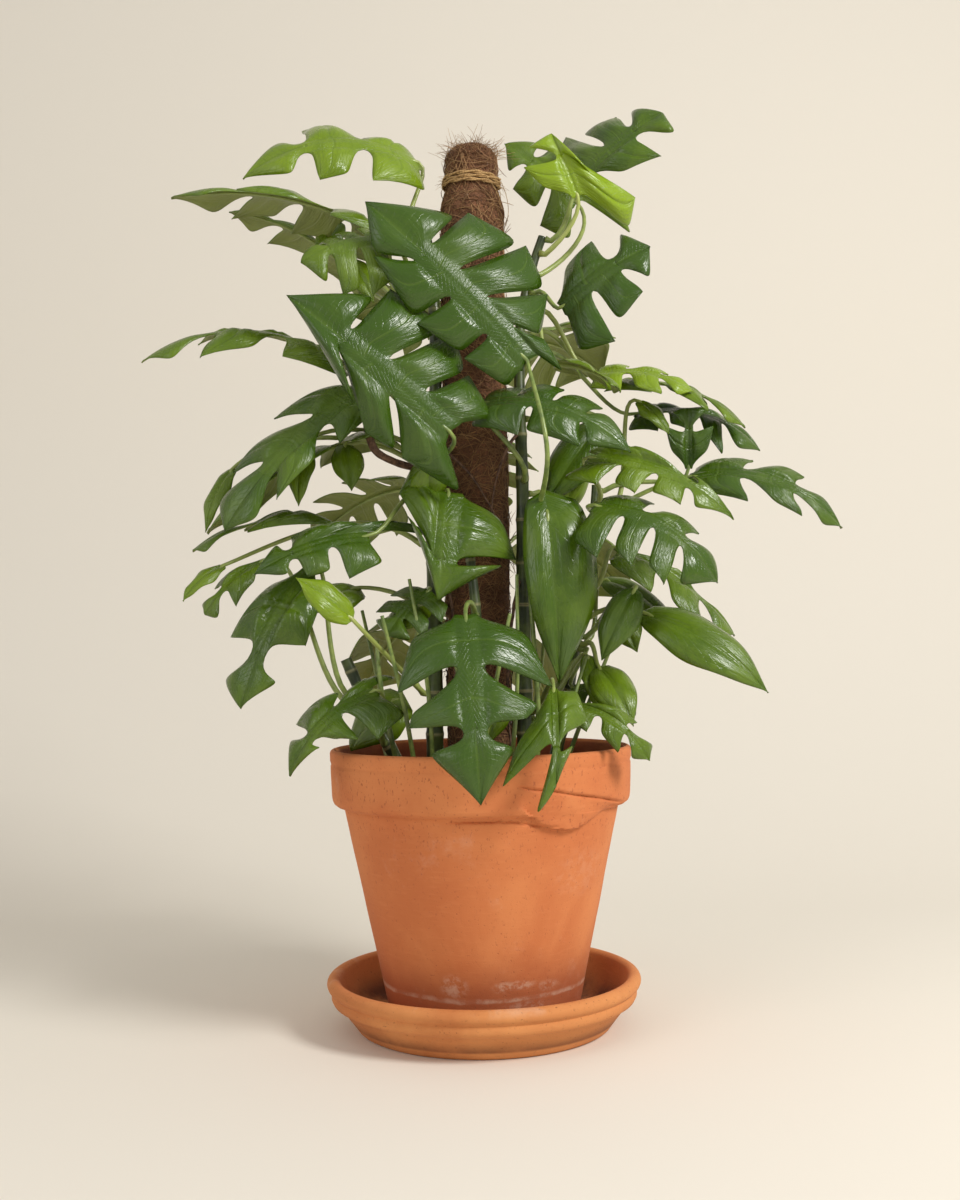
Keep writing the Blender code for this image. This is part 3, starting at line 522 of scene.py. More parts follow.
rng = random.Random(11)
shape = bmesh.new()
shape.from_mesh(soil.data)
soil_crumbs = 520
for _ in range(soil_crumbs):
    angle, reach = rng.uniform(0, math.tau), soil_edge * math.sqrt(rng.random()) * 0.97
    crumb(shape, Vector((reach * math.cos(angle) * MM, reach * math.sin(angle) * MM,
                         (soil_level + rng.uniform(-0.4, 1.6)) * MM)), rng.uniform(0.9, 3.4), rng)
spilled = (((-86.0, -60.0), 4), ((-78.0, -68.0), 3), ((80.0, -62.0), 6), ((60.0, -78.0), 2))
for middle, count in spilled:
    for _ in range(count):
        reach = Vector((middle[0] + rng.uniform(-7, 7), middle[1] + rng.uniform(-5, 5)))
        reach *= rng.uniform(97.0, 101.0) / reach.length * 0.93
        crumb(shape, Vector((reach.x * MM, reach.y * MM, (saucer_floor + 0.7) * MM)),
              rng.uniform(0.7, 1.5), rng)
shape.to_mesh(soil.data)
shape.free()
soil_finish, tree, shader = new_material("potting_mix_damp", Roughness=0.95)
where = object_space(tree)
lumps = add_noise(tree, where, 160.0, 6.0, 0.7)
bark = add_noise(tree, where, 60.0, 3.0, 0.6)
colour = add_mix(tree, add_range(tree, lumps, 0.35, 0.65), (0.012, 0.007, 0.004),
                 (0.065, 0.035, 0.018))
colour = add_mix(tree, add_range(tree, bark, 0.6, 0.72, 0.0, 0.7), colour, (0.14, 0.07, 0.035))
paint(tree, shader, colour, lumps, 0.8, 0.002)
finish_piece(soil, soil_finish, "potting_soil", "soil")


# Stake: a bare wooden stick pushed down through the soil. It carries the coir, which is felted
# round it and hides it.
def mottled(name, roughness, dark, pale, noise_values, relief, stretch=None):
    """A finish that wanders between two colours, with its relief from the same noise."""
    made, tree, shader = new_material(name, Roughness=roughness)
    where = object_space(tree)
    if stretch:
        where = add_mapping(tree, where, stretch)
    pattern = add_noise(tree, where, *noise_values)
    colour = add_mix(tree, add_range(tree, pattern, 0.35, 0.65), dark, pale)
    paint(tree, shader, colour, pattern, *relief)
    return made


wood = mottled("bare_wood", 0.7, (0.34, 0.2, 0.09), (0.52, 0.34, 0.18), (1.0, 4.0, 0.6, 0.4),
               (0.4, 0.0006), stretch=(260.0, 260.0, 9.0))
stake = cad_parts["pole_stake"]
stake.data.materials.clear()
stake.data.materials.append(wood)


# Coir pole: coconut fibre felted round the stake, closed at the top and drawn in at the neck.
# Loose fibres stand off it everywhere, most of all round its top.
def add_tube(shape, points, radii, sides, tag=None, tags=None):
    """Adds a closed tube along points in millimetres to a bmesh. tags fill the layer tag."""
    rings = []
    last = len(points) - 1
    normal = None
    for i, point in enumerate(points):
        ahead = (points[min(i + 1, last)] - points[max(i - 1, 0)]).normalized()
        if normal is None:
            normal = ahead.orthogonal().normalized()
        normal = (normal - normal.dot(ahead) * ahead).normalized()
        other = ahead.cross(normal)
        ring = []
        for side in range(sides):
            turn = math.tau * side / sides
            offset = (normal * math.cos(turn) + other * math.sin(turn)) * radii[i]
            vertex = shape.verts.new((point + offset) * MM)
            if tag:
                vertex[tag] = tags[i]
            ring.append(vertex)
        rings.append(ring)
    made = []
    for ring, following in zip(rings, rings[1:]):
        for side in range(sides):
            after = (side + 1) % sides
            made.append(shape.faces.new((ring[side], ring[after], following[after],
                                         following[side])))
    made.append(shape.faces.new(rings[0][::-1]))
    made.append(shape.faces.new(rings[-1]))
    for face in made:
        face.smooth = True
    return made


def shape_object(name, shape):
    """Makes an object at the origin of a bmesh and frees the bmesh."""
    made = mesh_object(name, [])
    shape.to_mesh(made.data)
    shape.free()
    return made


def tag_layer(shape, name):
    return shape.verts.layers.float.new(name)


coir_top, coir_radius, neck_radius, neck_level, coir_foot = 708.0, 25.0, 21.5, 676.0, 168.0
bore_radius, bore_top = 10.6, 696.5
crown_height, crown_radius = 18.0, 20.5


def coir_surface(level):
    """Radius of the felted coir at a height."""
    if level > coir_top - crown_height:
        share = (level - coir_top + crown_height) / crown_height
        return crown_radius * math.sqrt(max(0.0, 1 - share**3.2))
    waist = bell(level, neck_level, 9.0) * 1.6
    below = ramp(level, neck_level - 26.0, neck_level - 6.0)
    return coir_radius + (neck_radius - coir_radius) * below - waist


levels = [coir_top - 0.02 * i * i for i in range(30)]
levels += [levels[-1] - 4.0 * i for i in range(1, 132) if levels[-1] - 4.0 * i > coir_foot]
coir = turned("coir_pole", [(max(coir_surface(z), 0.0), z) for z in levels]
              + [(coir_surface(coir_foot), coir_foot), (bore_radius, coir_foot),
                 (bore_radius, bore_top), (0.0, bore_top)], 72)
for vertex in coir.data.vertices:
    place = vertex.co.copy()
    if math.hypot(place.x, place.y) / MM > 12.0 or place.z > 0.7:
        push = 1.1 * noise.noise(place * 70.0) + 0.8 * noise.noise(place * 210.0)
        vertex.co += push * MM * Vector((place.x, place.y, max(place.z - 0.69, 0.0))).normalized()
tone_name = "tone"  # how pale a fibre is
shape = bmesh.new()
shape.from_mesh(coir.data)
tone = tag_layer(shape, tone_name)
rng = random.Random(7)


def surface_point(angle, level, lift):
    radius = coir_surface(min(max(level, coir_foot + 2.0), coir_top - 0.6)) + lift
    return Vector((radius * math.cos(angle), radius * math.sin(angle), level))


felt_fibres, crown_fibres = 5200, 260
for _ in range(felt_fibres):
    level = rng.uniform(soil_level - 6.0, coir_top - 3.0)
    angle = rng.uniform(0, math.tau)
    length = rng.uniform(9.0, 34.0)
    heading = rng.gauss(0.0, 0.9)
    curl = rng.uniform(-0.9, 0.9)
    lift = rng.uniform(-0.1, 1.3)
    stand = rng.uniform(0.0, 1.2) + (rng.uniform(2.0, 9.0) if rng.random() < 0.06 else 0.0)
    points = []
    for step in range(6):
        points.append(surface_point(angle, min(level, coir_top - 0.5), lift + stand * (step / 5) ** 2))
        heading += curl / 5
        level += length / 5 * math.sin(heading)
        angle += length / 5 * math.cos(heading) / coir_radius
    thick = rng.uniform(0.16, 0.38)
    add_tube(shape, points, [thick] * 5 + [thick * 0.4], 3, tone, [rng.random()] * 6)
for _ in range(crown_fibres):
    angle = rng.uniform(0, math.tau)
    reach = neck_radius * math.sqrt(rng.random())
    foot = Vector((reach * math.cos(angle), reach * math.sin(angle), coir_top - 4.0
                   - 9.0 * (reach / neck_radius) ** 3))
    lean = Vector((math.cos(angle) * 0.7 + rng.gauss(0, 0.7), math.sin(angle) * 0.7
                   + rng.gauss(0, 0.7), rng.uniform(0.3, 1.0))).normalized()
    droop = Vector((rng.gauss(0, 0.5), rng.gauss(0, 0.5), rng.uniform(-0.9, 0.2)))
    length = rng.uniform(5.0, 20.0)
    points = [foot + lean * length * s + droop * length * 0.5 * s * s for s in (0, 0.25, 0.5, 0.75, 1)]
    add_tube(shape, points, [0.2, 0.2, 0.18, 0.16, 0.1], 3, tone, [rng.uniform(0.5, 1.0)] * 5)
shape.to_mesh(coir.data)
shape.free()
coir_finish, tree, shader = new_material("coir_felt", Roughness=0.85)
where = object_space(tree)
mat_noise = add_noise(tree, where, 380.0, 5.0, 0.75, 2.2)
patch = add_noise(tree, where, 45.0, 3.0, 0.6)
tone_value = attribute(tree, tone_name)
base = add_mix(tree, add_range(tree, mat_noise, 0.38, 0.62), (0.07, 0.028, 0.012),
               (0.30, 0.13, 0.055))
strand = add_mix(tree, tone_value, (0.20, 0.08, 0.033), (0.62, 0.37, 0.17))
colour = add_mix(tree, add_range(tree, tone_value, 0.0, 0.02), base, strand)
colour = add_mix(tree, add_range(tree, patch, 0.4, 0.62, 0.0, 0.4), colour, (0.10, 0.036, 0.014))
paint(tree, shader, colour, mat_noise, 0.9, 0.0015)
finish_piece(coir, coir_finish, "coir", "coir_wrap")


# Twine: three turns of two-ply jute round the pole's neck, with its loose ends and fibres.
twine_radius, twine_turns, twine_steps, twine_fibres = 1.6, 3, 240, 70
shape = bmesh.new()
tone = tag_layer(shape, tone_name)
seat = neck_radius - 0.5 + 0.3 + twine_radius
for ply in (0, 1):
    points = []
    for step in range(twine_steps + 1):
        turn = math.tau * twine_turns * step / twine_steps
        level = neck_level + 4.0 - 8.0 * step / twine_steps + 0.4 * math.sin(turn * 1.7)
        twist = step * 0.42 + ply * math.pi
        radius = seat + 0.75 * math.cos(twist)
        points.append(Vector((radius * math.cos(turn), radius * math.sin(turn),
                              level + 0.75 * math.sin(twist))))
    add_tube(shape, points, [0.85] * len(points), 6, tone, [0.7] * len(points))
for _ in range(twine_fibres):
    angle = rng.uniform(0, math.tau)
    foot = Vector((seat * math.cos(angle), seat * math.sin(angle), neck_level + rng.uniform(-5, 5)))
    lean = Vector((math.cos(angle + rng.gauss(0, 0.9)), math.sin(angle + rng.gauss(0, 0.9)),
                   rng.gauss(0, 0.5)))
    length = rng.uniform(3.0, 9.0)
    points = [foot + lean * length * s + Vector((0, 0, -0.4 * length * s * s)) for s in (0, 0.33, 0.66, 1)]
    add_tube(shape, points, [0.16, 0.15, 0.13, 0.08], 3, tone, [rng.uniform(0.6, 1.0)] * 4)
for start, length in ((-1.1, 26.0), (0.4, 20.0), (-0.3, 33.0)):
    points = []
    for step in range(9):
        share = step / 8
        angle = start + 0.5 * share
        radius = seat + 2.0 + 5.0 * math.sin(share * 2.4)
        points.append(Vector((radius * math.cos(angle), radius * math.sin(angle),
                              neck_level - length * share)))
    add_tube(shape, points, [0.3] * 9, 4, tone, [0.9] * 9)
twine = shape_object("jute_tie", shape)
twine_finish = mottled("jute", 0.8, (0.26, 0.14, 0.05), (0.56, 0.36, 0.15), (700.0, 3.0, 0.7),
                       (0.5, 0.0005))
finish_piece(twine, twine_finish, "jute_twine", "twine_tie")


# Stems: six of them climb the pole from the soil, ringed where old leaves have dropped. Brown
# aerial roots grow from the rings.
stem_foot = 120.0
Stem = namedtuple("Stem", "route radius tip_radius")
STEMS = {
    "left": Stem(
        ((-36, -12, stem_foot), (-36, -12, 197), (-35, -14, 300), (-34, -16, 420),
         (-31, -15, 520), (-33, -9, 600), (-40, -4, 646)), 7.0, 4.0),
    "right": Stem(
        ((36, -8, stem_foot), (36, -8, 197), (36, -10, 300), (37, -12, 420),
         (36, -12, 500), (38, -8, 560), (48, -4, 604), (57, -5, 630)), 7.0, 3.5),
    "front": Stem(
        ((4, -46, stem_foot), (4, -46, 197), (2, -46, 260), (-2, -44, 330), (-6, -42, 372)),
        5.5, 3.5),
    "side": Stem(
        ((60, 8, stem_foot), (60, 8, 197), (70, 6, 250), (82, 4, 320), (92, 4, 380), (97, 6, 428)),
        5.5, 3.0),
    "cut": Stem(
        ((-62, -26, stem_foot), (-62, -26, 197), (-68, -27, 216), (-82, -28, 240),
         (-104, -30, 290)), 5.0, 4.5),
    "back": Stem(
        ((6, 42, stem_foot), (6, 42, 197), (4, 44, 300), (0, 45, 420), (-3, 44, 500),
         (-2, 44, 556)), 6.0, 3.5),
}


def smooth_line(places, spacing, start_direction=None):
    """Points about a spacing apart on a smooth curve through the given places."""
    places = [Vector(place) for place in places]
    last = len(places) - 1
    slopes = [(places[min(i + 1, last)] - places[max(i - 1, 0)]) / 2 for i in range(last + 1)]
    if start_direction:
        slopes[0] = Vector(start_direction) * (places[1] - places[0]).length
    line = [places[0]]
    for i in range(last):
        count = max(1, round((places[i + 1] - places[i]).length / spacing))
        for step in range(1, count + 1):
            t = step / count
            line.append(
                places[i] * (2 * t**3 - 3 * t**2 + 1) + slopes[i] * (t**3 - 2 * t**2 + t)
                + places[i + 1] * (3 * t**2 - 2 * t**3) + slopes[i + 1] * (t**3 - t**2))
    return line


def stem_line(name, spacing):
    """A stem's centre line, upright in the soil and smooth above it, with its radii."""
    stem = STEMS[name]
    line = [Vector(stem.route[0])] + smooth_line(stem.route[1:], spacing, (0, 0, 1))
    reach = [0.0]
    for near, far in zip(line, line[1:]):
        reach.append(reach[-1] + (far - near).length)
    start = reach[1]
    radii = [stem.radius + (stem.tip_radius - stem.radius)
             * max(0.0, (at - start) / (reach[-1] - start)) for at in reach]
    return line, radii, reach


stem_finish, tree, shader = new_material("stem_skin", Roughness=0.42, Coat_Weight=0.15)
where = object_space(tree)
ring = attribute(tree, "ring")
blotch = add_noise(tree, where, 60.0, 4.0, 0.6)
streak = add_noise(tree, add_mapping(tree, where, (420.0, 420.0, 30.0)), 1.0, 3.0, 0.6)
colour = add_mix(tree, add_range(tree, blotch, 0.35, 0.68), (0.022, 0.036, 0.010),
                 (0.075, 0.105, 0.022))
colour = add_mix(tree, add_range(tree, streak, 0.55, 0.75, 0.0, 0.35), colour, (0.13, 0.15, 0.05))
colour = add_mix(tree, add_range(tree, ring, 0.25, 0.8, 0.0, 0.8), colour, (0.30, 0.28, 0.13))
colour = add_mix(tree, add_range(tree, ring, 0.86, 0.98, 0.0, 0.8), colour, (0.07, 0.035, 0.015))
paint(tree, shader, colour, streak, 0.25, 0.0008)

for name, stem in STEMS.items():
    line, radii, reach = stem_line(name, 2.6)
    gap = 34.0 if name != "cut" else 22.0
    rings, wide = [], []
    for at, radius in zip(reach, radii):
        nearest = abs((at - 92.0) % gap - gap / 2) if at > 70 else 99.0
        mark = math.exp(-(nearest / 1.5) ** 2)
        rings.append(mark)
        wide.append(radius * (0.97 + 0.10 * mark + 0.05 * math.exp(-(nearest / 6.0) ** 2)))
    shape = bmesh.new()
    add_tube(shape, line, wide, 18, tag_layer(shape, "ring"), rings)
    made = shape_object("stem_of_" + name, shape)
    finish_piece(made, stem_finish, "stem_green", "stem_" + name)

root_finish = mottled("aerial_root_bark", 0.7, (0.05, 0.022, 0.012), (0.19, 0.10, 0.055),
                      (240.0, 4.0, 0.7), (0.5, 0.0008))
ROOTS = (
    (((-83, -38, 490), (-84, -42, 470), (-78, -44, 452), (-66, -40, 444), (-50, -28, 440),
      (-38, -18, 438)), 3.4, 2.6),
    (((-36, -12, 380), (-30, -26, 368), (-22, -31, 340), (-18, -30, 300), (-20, -29, 262)), 1.6, 0.8),
    (((34, -12, 352), (30, -24, 338), (24, -30, 300), (22, -31, 250), (26, -30, 196)), 1.5, 0.9),
    (((-33, -14, 462), (-20, -26, 450), (-2, -30, 430), (14, -29, 402)), 1.5, 0.7),
    (((36, -12, 470), (26, -24, 456), (16, -29, 430), (10, -30, 396)), 1.4, 0.6),
    (((4, 44, 330), (12, 34, 300), (18, 30, 262), (20, 28, 200)), 1.5, 0.9),
    (((0, 44, 430), (-14, 34, 410), (-20, 28, 372), (-22, 26, 330)), 1.4, 0.7),
    (((-64, -27, 206), (-72, -34, 200), (-80, -40, 192), (-84, -44, 186)), 1.5, 0.9),
    (((62, 8, 214), (70, 0, 208), (78, -8, 198), (82, -12, 186)), 1.4, 0.9),
)
shape = bmesh.new()
for route, thick, thin in ROOTS:
    line = smooth_line(route, 2.5)
    last = len(line) - 1
    add_tube(shape, [p + 0.5 * Vector((noise.noise(p * 0.11), noise.noise(p * 0.13), 0)) for p in line],
             [thick + (thin - thick) * i / last + 0.25 * noise.noise(p * 0.3)
              for i, p in enumerate(line)], 8)
roots = shape_object("aerial_roots", shape)
finish_piece(roots, root_finish, "stem_green")


# Leaves: each is one blade on its own stalk. The blade is thin and leathery, glossy above and
# pale below, slit almost to the rib on the grown leaves and whole on the youngest.
Leaf = namedtuple("Leaf", "name kind stem height base tip face halves lobes arch fold")
LEAVES = [Leaf(*row) for row in (
    ("a1", "deep", "left", 632, (-43, 0, 695), (-182, -30, 673), (-.1, -.8, .6), (52, 40), (2, 2), .18, -12),
    ("a2", "deep", "left", 590, (-65, -10, 628), (-235, -45, 653), (.1, -.1, 1), (34, 44), (2, 3), .1, -10),
    ("a3", "deep", "left", 560, (-67, -76, 608), (-129, -85, 588), (-.1, -.8, .5), (40, 34), (2, 3), .1, -20),
    ("a4", "deep", "left", 560, (-96, 50, 613), (-206, 42, 672), (.4, .1, .9), (26, 30), (2, 2), .1, -10),
    ("b1", "split", "right", 388, (40, -75, 513), (-79, -94, 630), (-.1, -1, .3), (48, 56), (3, 4), .06, -8),
    ("b2", "split", "left", 425, (-19, -86, 458), (-137, -103, 558), (-.2, -1, .3), (42, 56), (2, 3), .06, -8),
    ("b3", "split", "right", 430, (6, -52, 486), (118, -69, 443), (.1, -.8, .7), (36, 28), (3, 2), .16, -10),
    ("c1", "deep", "right", 629, (92, -8, 682), (155, -18, 726), (-.1, -.8, .5), (44, 40), (2, 1), .05, -6),
    ("c2", "deep", "right", 602, (89, 38, 673), (29, 46, 728), (.1, -.9, .3), (36, 40), (2, 2), .06, -8),
    ("c3", "deep", "right", 617, (84, -32, 654), (64, -40, 701), (-.1, -.9, .3), (30, 26), (1, 1), .08, 5),
    ("c4", "deep", "right", 584, (70, -24, 567), (140, -36, 611), (-.2, -.8, .4), (48, 50), (1, 2), .08, -8),
    ("d1", "deep", "right", 560, (62, -28, 522), (114, -46, 494), (0, .1, 1), (22, 26), (2, 1), .1, -5),
    ("d2", "deep", "right", 570, (98, 0, 518), (176, -12, 500), (0, -.6, .8), (22, 24), (2, 2), .12, -8),
    ("d3", "deep", "right", 550, (112, 20, 514), (221, 10, 474), (.1, -.3, .9), (30, 30), (2, 2), .14, -8),
    ("d4", "deep", "right", 530, (136, 42, 493), (238, 34, 459), (0, -.5, .9), (28, 32), (2, 3), .16, -8),
    ("e1", "deep", "side", 402, (172, -8, 432), (288, -26, 387), (.2, -.7, .7), (44, 34), (2, 2), .18, -8),
    ("e2", "deep", "side", 424, (173, 6, 441), (173, 0, 489), (-.1, -.8, .4), (18, 20), (1, 1), .05, 5),
    ("e3", "deep", "side", 412, (88, -46, 443), (197, -56, 392), (-.1, -.6, .8), (26, 44), (1, 3), .14, -10),
    ("e4", "deep", "side", 385, (90, -68, 403), (179, -82, 342), (-.1, -.6, .8), (32, 44), (2, 3), .18, -10),
    ("e5", "deep", "side", 345, (112, -10, 376), (208, 8, 304), (.7, -.3, .6), (20, 34), (1, 2), .08, -15),
    ("f1", "whole", "side", 322, (132, -38, 321), (216, -57, 264), (-.1, -.8, .7), (28, 26), (0, 0), .1, -6),
    ("f2", "whole", "side", 300, (106, 22, 352), (162, 18, 306), (0, -.5, .8), (22, 22), (0, 0), .12, -6),
    ("f3", "heart", "right", 375, (54, -64, 397), (60, -68, 276), (.1, -1, .1), (38, 22), (0, 0), .06, -6),
    ("f4", "whole", "right", 480, (101, 14, 478), (58, 4, 417), (-.1, -.9, .3), (24, 24), (0, 0), .06, -6),
    ("g1", "split", "left", 392, (-21, -56, 416), (-30, -75, 332), (.1, -.8, .5), (62, 40), (1, 1), .1, -8),
    ("g2", "deep", "front", 322, (-9, -106, 320), (0, -150, 188), (0, -.8, .6), (54, 54), (2, 2), .12, -8),
    ("g3", "deep", "right", 246, (54, -100, 266), (52, -143, 199), (.1, -.8, .7), (16, 16), (1, 1), .1, -8),
    ("g4", "deep", "side", 236, (70, -62, 253), (126, -76, 211), (.1, -.8, .7), (18, 18), (1, 2), .2, -8),
    ("g5", "deep", "side", 296, (74, -10, 265), (122, -24, 242), (0, -.6, .8), (26, 22), (1, 2), .14, -8),
    ("g6", "whole", "side", 306, (119, -56, 338), (94, -60, 289), (-.1, -.8, .6), (18, 18), (0, 0), .08, -6),
    ("h1", "deep", "left", 500, (-105, -4, 530), (-263, -30, 527), (.1, -.3, .9), (32, 30), (2, 3), .16, -10),
    ("h2", "deep", "left", 470, (-81, -42, 501), (-190, -74, 388), (-.2, -.8, .6), (46, 54), (2, 2), .1, -8),
    ("h3", "deep", "left", 440, (-80, -12, 468), (-209, -44, 389), (-.2, .1, .9), (44, 30), (3, 2), .1, -10),
    ("h4", "deep", "left", 390, (-95, 2, 392), (-225, -22, 377), (0, -.2, .9), (22, 22), (1, 1), .14, -8),
    ("h5", "deep", "left", 414, (-83, -66, 383), (-167, -80, 354), (-.1, -.8, .7), (38, 34), (2, 2), .1, -8),
    ("h6", "deep", "cut", 262, (-129, -44, 361), (-179, -72, 254), (-.3, -.8, .5), (44, 44), (1, 1), .1, -8),
    ("h7", "deep", "cut", 255, (-172, -8, 370), (-216, -22, 327), (-.2, -.6, .7), (20, 20), (1, 1), .1, -8),
    ("h8", "whole", "left", 262, (-93, -98, 320), (-129, -108, 348), (0, -.8, .6), (16, 16), (0, 0), .08, -6),
    ("h9", "deep", "cut", 225, (-79, -68, 266), (-142, -80, 204), (-.4, -.7, .6), (34, 34), (2, 2), .16, -10),
    ("h10", "deep", "left", 340, (-38, -44, 342), (-70, -60, 307), (-.1, -.7, .7), (26, 28), (2, 2), .1, -8),
    ("k1", "split", "back", 548, (-26, 84, 600), (-112, 140, 606), (-.2, .6, .8), (50, 50), (3, 3), .14, -8),
    ("k2", "split", "back", 520, (32, 84, 566), (120, 150, 550), (.2, .6, .8), (50, 50), (3, 3), .14, -8),
    ("k3", "deep", "back", 400, (-50, 86, 440), (-150, 130, 396), (-.2, .6, .8), (44, 44), (3, 3), .14, -8),
    ("k4", "split", "back", 360, (50, 90, 400), (138, 140, 340), (.2, .6, .8), (44, 44), (3, 2), .14, -8),
    ("k5", "deep", "back", 440, (-5, 104, 486), (4, 204, 420), (0, .8, .7), (56, 56), (3, 3), .14, -8),
    ("k6", "split", "back", 300, (-44, 90, 330), (-108, 150, 256), (-.3, .7, .7), (40, 40), (2, 3), .14, -8),
    ("k7", "whole", "back", 280, (30, 98, 310), (66, 170, 236), (.2, .8, .6), (32, 32), (0, 0), .1, -6),
)]
LOBE_TIPS = {
    "a1": (((.3, .28), (.62, .22)), ((.2, .4), (.62, .42))),
    "b1": (((.2, .2), (.46, .24), (.8, .16)), ((0, .14), (.12, .34), (.36, .42), (.66, .32))),
    "b2": (((.08, .24), (.3, .26)), ((.08, .3), (.28, .42), (.66, .36))),
    "c1": (((.12, .85), (.68, .5)), ((.7, .42),)),
    "c2": (((.1, .42), (.6, .32)), ((-.3, .45), (.62, .45))),
    "c3": (((.7, .6),), ((-.4, .9),)),
    "c4": (((.62, .55),), ((.2, .62), (.7, .4))),
    "e1": (((.32, .28), (.68, .2)), ((.38, .2), (.75, .15))),
    "e3": (((.33, .2),), ((.1, .26), (.35, .26), (.66, .2))),
    "g1": (((.5, .66),), ((.02, .44),)),
    "g2": (((.38, .42), (.6, .26)), ((.38, .38), (.6, .33))),
    "g3": (((.3, .3),), ((1, .45),)),
    "h2": (((.35, .2), (.75, .16)), ((.4, .3), (.76, .24))),
    "h5": (((.25, .35), (.6, .25)), ((-.3, .25), (.6, .3))),
    "h6": (((.5, .25),), ((.6, .32),)),
    "h9": (((.22, .43), (.5, .2)), ((0, .36), (.68, .36))),
}
lobed_zone, first_lobe, droop = 0.64, 0.42, 0.2
SINUS = {"split": 0.2, "deep": 0.17}
SLIT = {"split": 0.1, "deep": 0.42}
SHOULDER = {"split": 1.0, "deep": 0.82}
SLIT_FOOT = {"split": 0.15, "deep": 0.22}
PETIOLE_VIA = {"b1": (53, -95, 438)}
# Small leaves of the inner shoots, in the same form.
SMALL_LEAVES = [Leaf(*row) for row in (
    ("s1", "whole", "side", 300, (94, -30, 280), (115, -60, 239), (0, -.8, .5), (20, 20), (0, 0), .1, -6),
    ("s2", "whole", "right", 250, (114, 10, 325), (126, -5, 294), (-.2, -.9, .3), (15, 15), (0, 0), .1, -6),
    ("s3", "heart", "left", 330, (-99, -20, 346), (-132, -40, 327), (.1, -.6, .8), (18, 18), (0, 0), .1, -6),
    ("s4", "whole", "left", 452, (-134, -30, 458), (-138, -44, 412), (-.3, -.9, .2), (13, 13), (0, 0), .1, -6),
    ("s5", "whole", "left", 446, (-102, -36, 457), (-96, -50, 422), (.2, -.9, .2), (15, 15), (0, 0), .1, -6),
    ("s6", "whole", "left", 440, (-196, -10, 443), (-214, -24, 395), (-.5, -.8, .3), (12, 12), (0, 0), .1, -6),
    ("s7", "whole", "left", 380, (-204, -10, 366), (-231, -26, 340), (-.2, -.7, .6), (10, 10), (0, 0), .1, -6),
    ("s8", "heart", "left", 420, (-36, -52, 414), (-36, -66, 438), (.1, -.9, .3), (15, 15), (0, 0), .1, -6),
    ("s9", "heart", "cut", 215, (-69, 0, 257), (-103, 0, 219), (-.2, -.6, .7), (30, 30), (0, 0), .1, -6),
    ("s10", "whole", "right", 240, (86, -20, 289), (93, -36, 246), (.3, -.8, .3), (12, 12), (0, 0), .1, -6),
    ("s11", "whole", "right", 420, (69, 20, 408), (94, 16, 467), (.4, -.9, .1), (15, 15), (0, 0), .1, -6),
    ("s12", "whole", "front", 262, (19, -62, 265), (6, -70, 226), (-.2, -.9, .3), (14, 14), (0, 0), .1, -6),
    ("s13", "heart", "left", 262, (-47, -30, 332), (-66, -52, 309), (-.2, -.7, .6), (16, 16), (0, 0), .1, -6),
    ("s14", "whole", "side", 392, (135, 10, 497), (156, 0, 470), (.1, -.6, .7), (12, 12), (0, 0), .1, -6),
    ("s15", "whole", "left", 560, (-111, 20, 653), (-128, 14, 618), (-.2, -.9, .2), (14, 14), (0, 0), .1, -6),
    ("s16", "whole", "left", 560, (-99, 10, 617), (-82, 0, 582), (0, -.9, .3), (12, 12), (0, 0), .1, -6),
)]
# How young a leaf is, from 0 for old and dark to 1 for new and pale.
YOUTH = {
    "a1": 0.55, "a2": 0.42, "a3": 0.4, "a4": 0.35, "b1": 0.05, "b2": 0.04, "b3": 0.1, "c1": 0.25,
    "c2": 0.35, "c3": 0.9, "c4": 0.08, "d1": 0.5, "d2": 0.75, "d3": 0.4, "d4": 0.1, "e1": 0.15,
    "e2": 0.1, "e3": 0.45, "e4": 0.15, "e5": 0.3, "f1": 0.3, "f2": 0.3, "f3": 0.2, "f4": 0.15,
    "g1": 0.2, "g2": 0.03, "g3": 0.3, "g4": 0.35, "g5": 0.25, "g6": 0.2, "h1": 0.35, "h2": 0.2,
    "h3": 0.35, "h4": 0.3, "h5": 0.2, "h6": 0.2, "h7": 0.4, "h8": 0.7, "h9": 0.25, "h10": 0.2,
}


def wobble(leaf, number):
    """A repeatable small value between -1 and 1 for a part of a leaf."""
    seed = 12.9898 * number + 4.1414 * (1 + (LEAVES + SMALL_LEAVES).index(leaf))
    return 2 * (math.sin(seed) * 43758.5453 % 1.0) - 1


def leaf_length(leaf):
    return (Vector(leaf.tip) - Vector(leaf.base)).length


def envelope(leaf, along):
    """Half-width of the blade as a share of its widest, at a share of the rib."""
    if leaf.lobes != (0, 0):
        return 1.0 - 1.15 * (along - 0.36) ** 2
    foot = 0.55 if leaf.kind == "heart" else 0.3
    rounded = math.sqrt(1 - (1 - min(along / 0.07, 1.0)) ** 2)
    return (1 - along) ** 1.2 * (foot * rounded + (3.1 - foot) * along) / 0.9


def sweep(leaf, along):
    """How far the blade's side runs forward of the rib, as a share of the length."""
    if leaf.lobes != (0, 0):
        return 0.36 * along - 0.1
    back = 0.17 if leaf.kind == "heart" else 0.06
    return -back * (1 - along) ** 3 + 0.06 * along


def flat_place(leaf, side, along, across):
    """A point of the flat blade: (along the rib, to the right of it, lift), in millimetres."""
    half = leaf.halves[0 if side < 0 else 1]
    return Vector(((along + across * sweep(leaf, along)) * leaf_length(leaf),
                   side * across * half * envelope(leaf, along), 0.0))


def on_curve(points, share):
    """A point of the Bezier curve that a row of points controls."""
    while len(points) > 1:
        points = [near.lerp(far, share) for near, far in zip(points, points[1:])]
    return points[0]


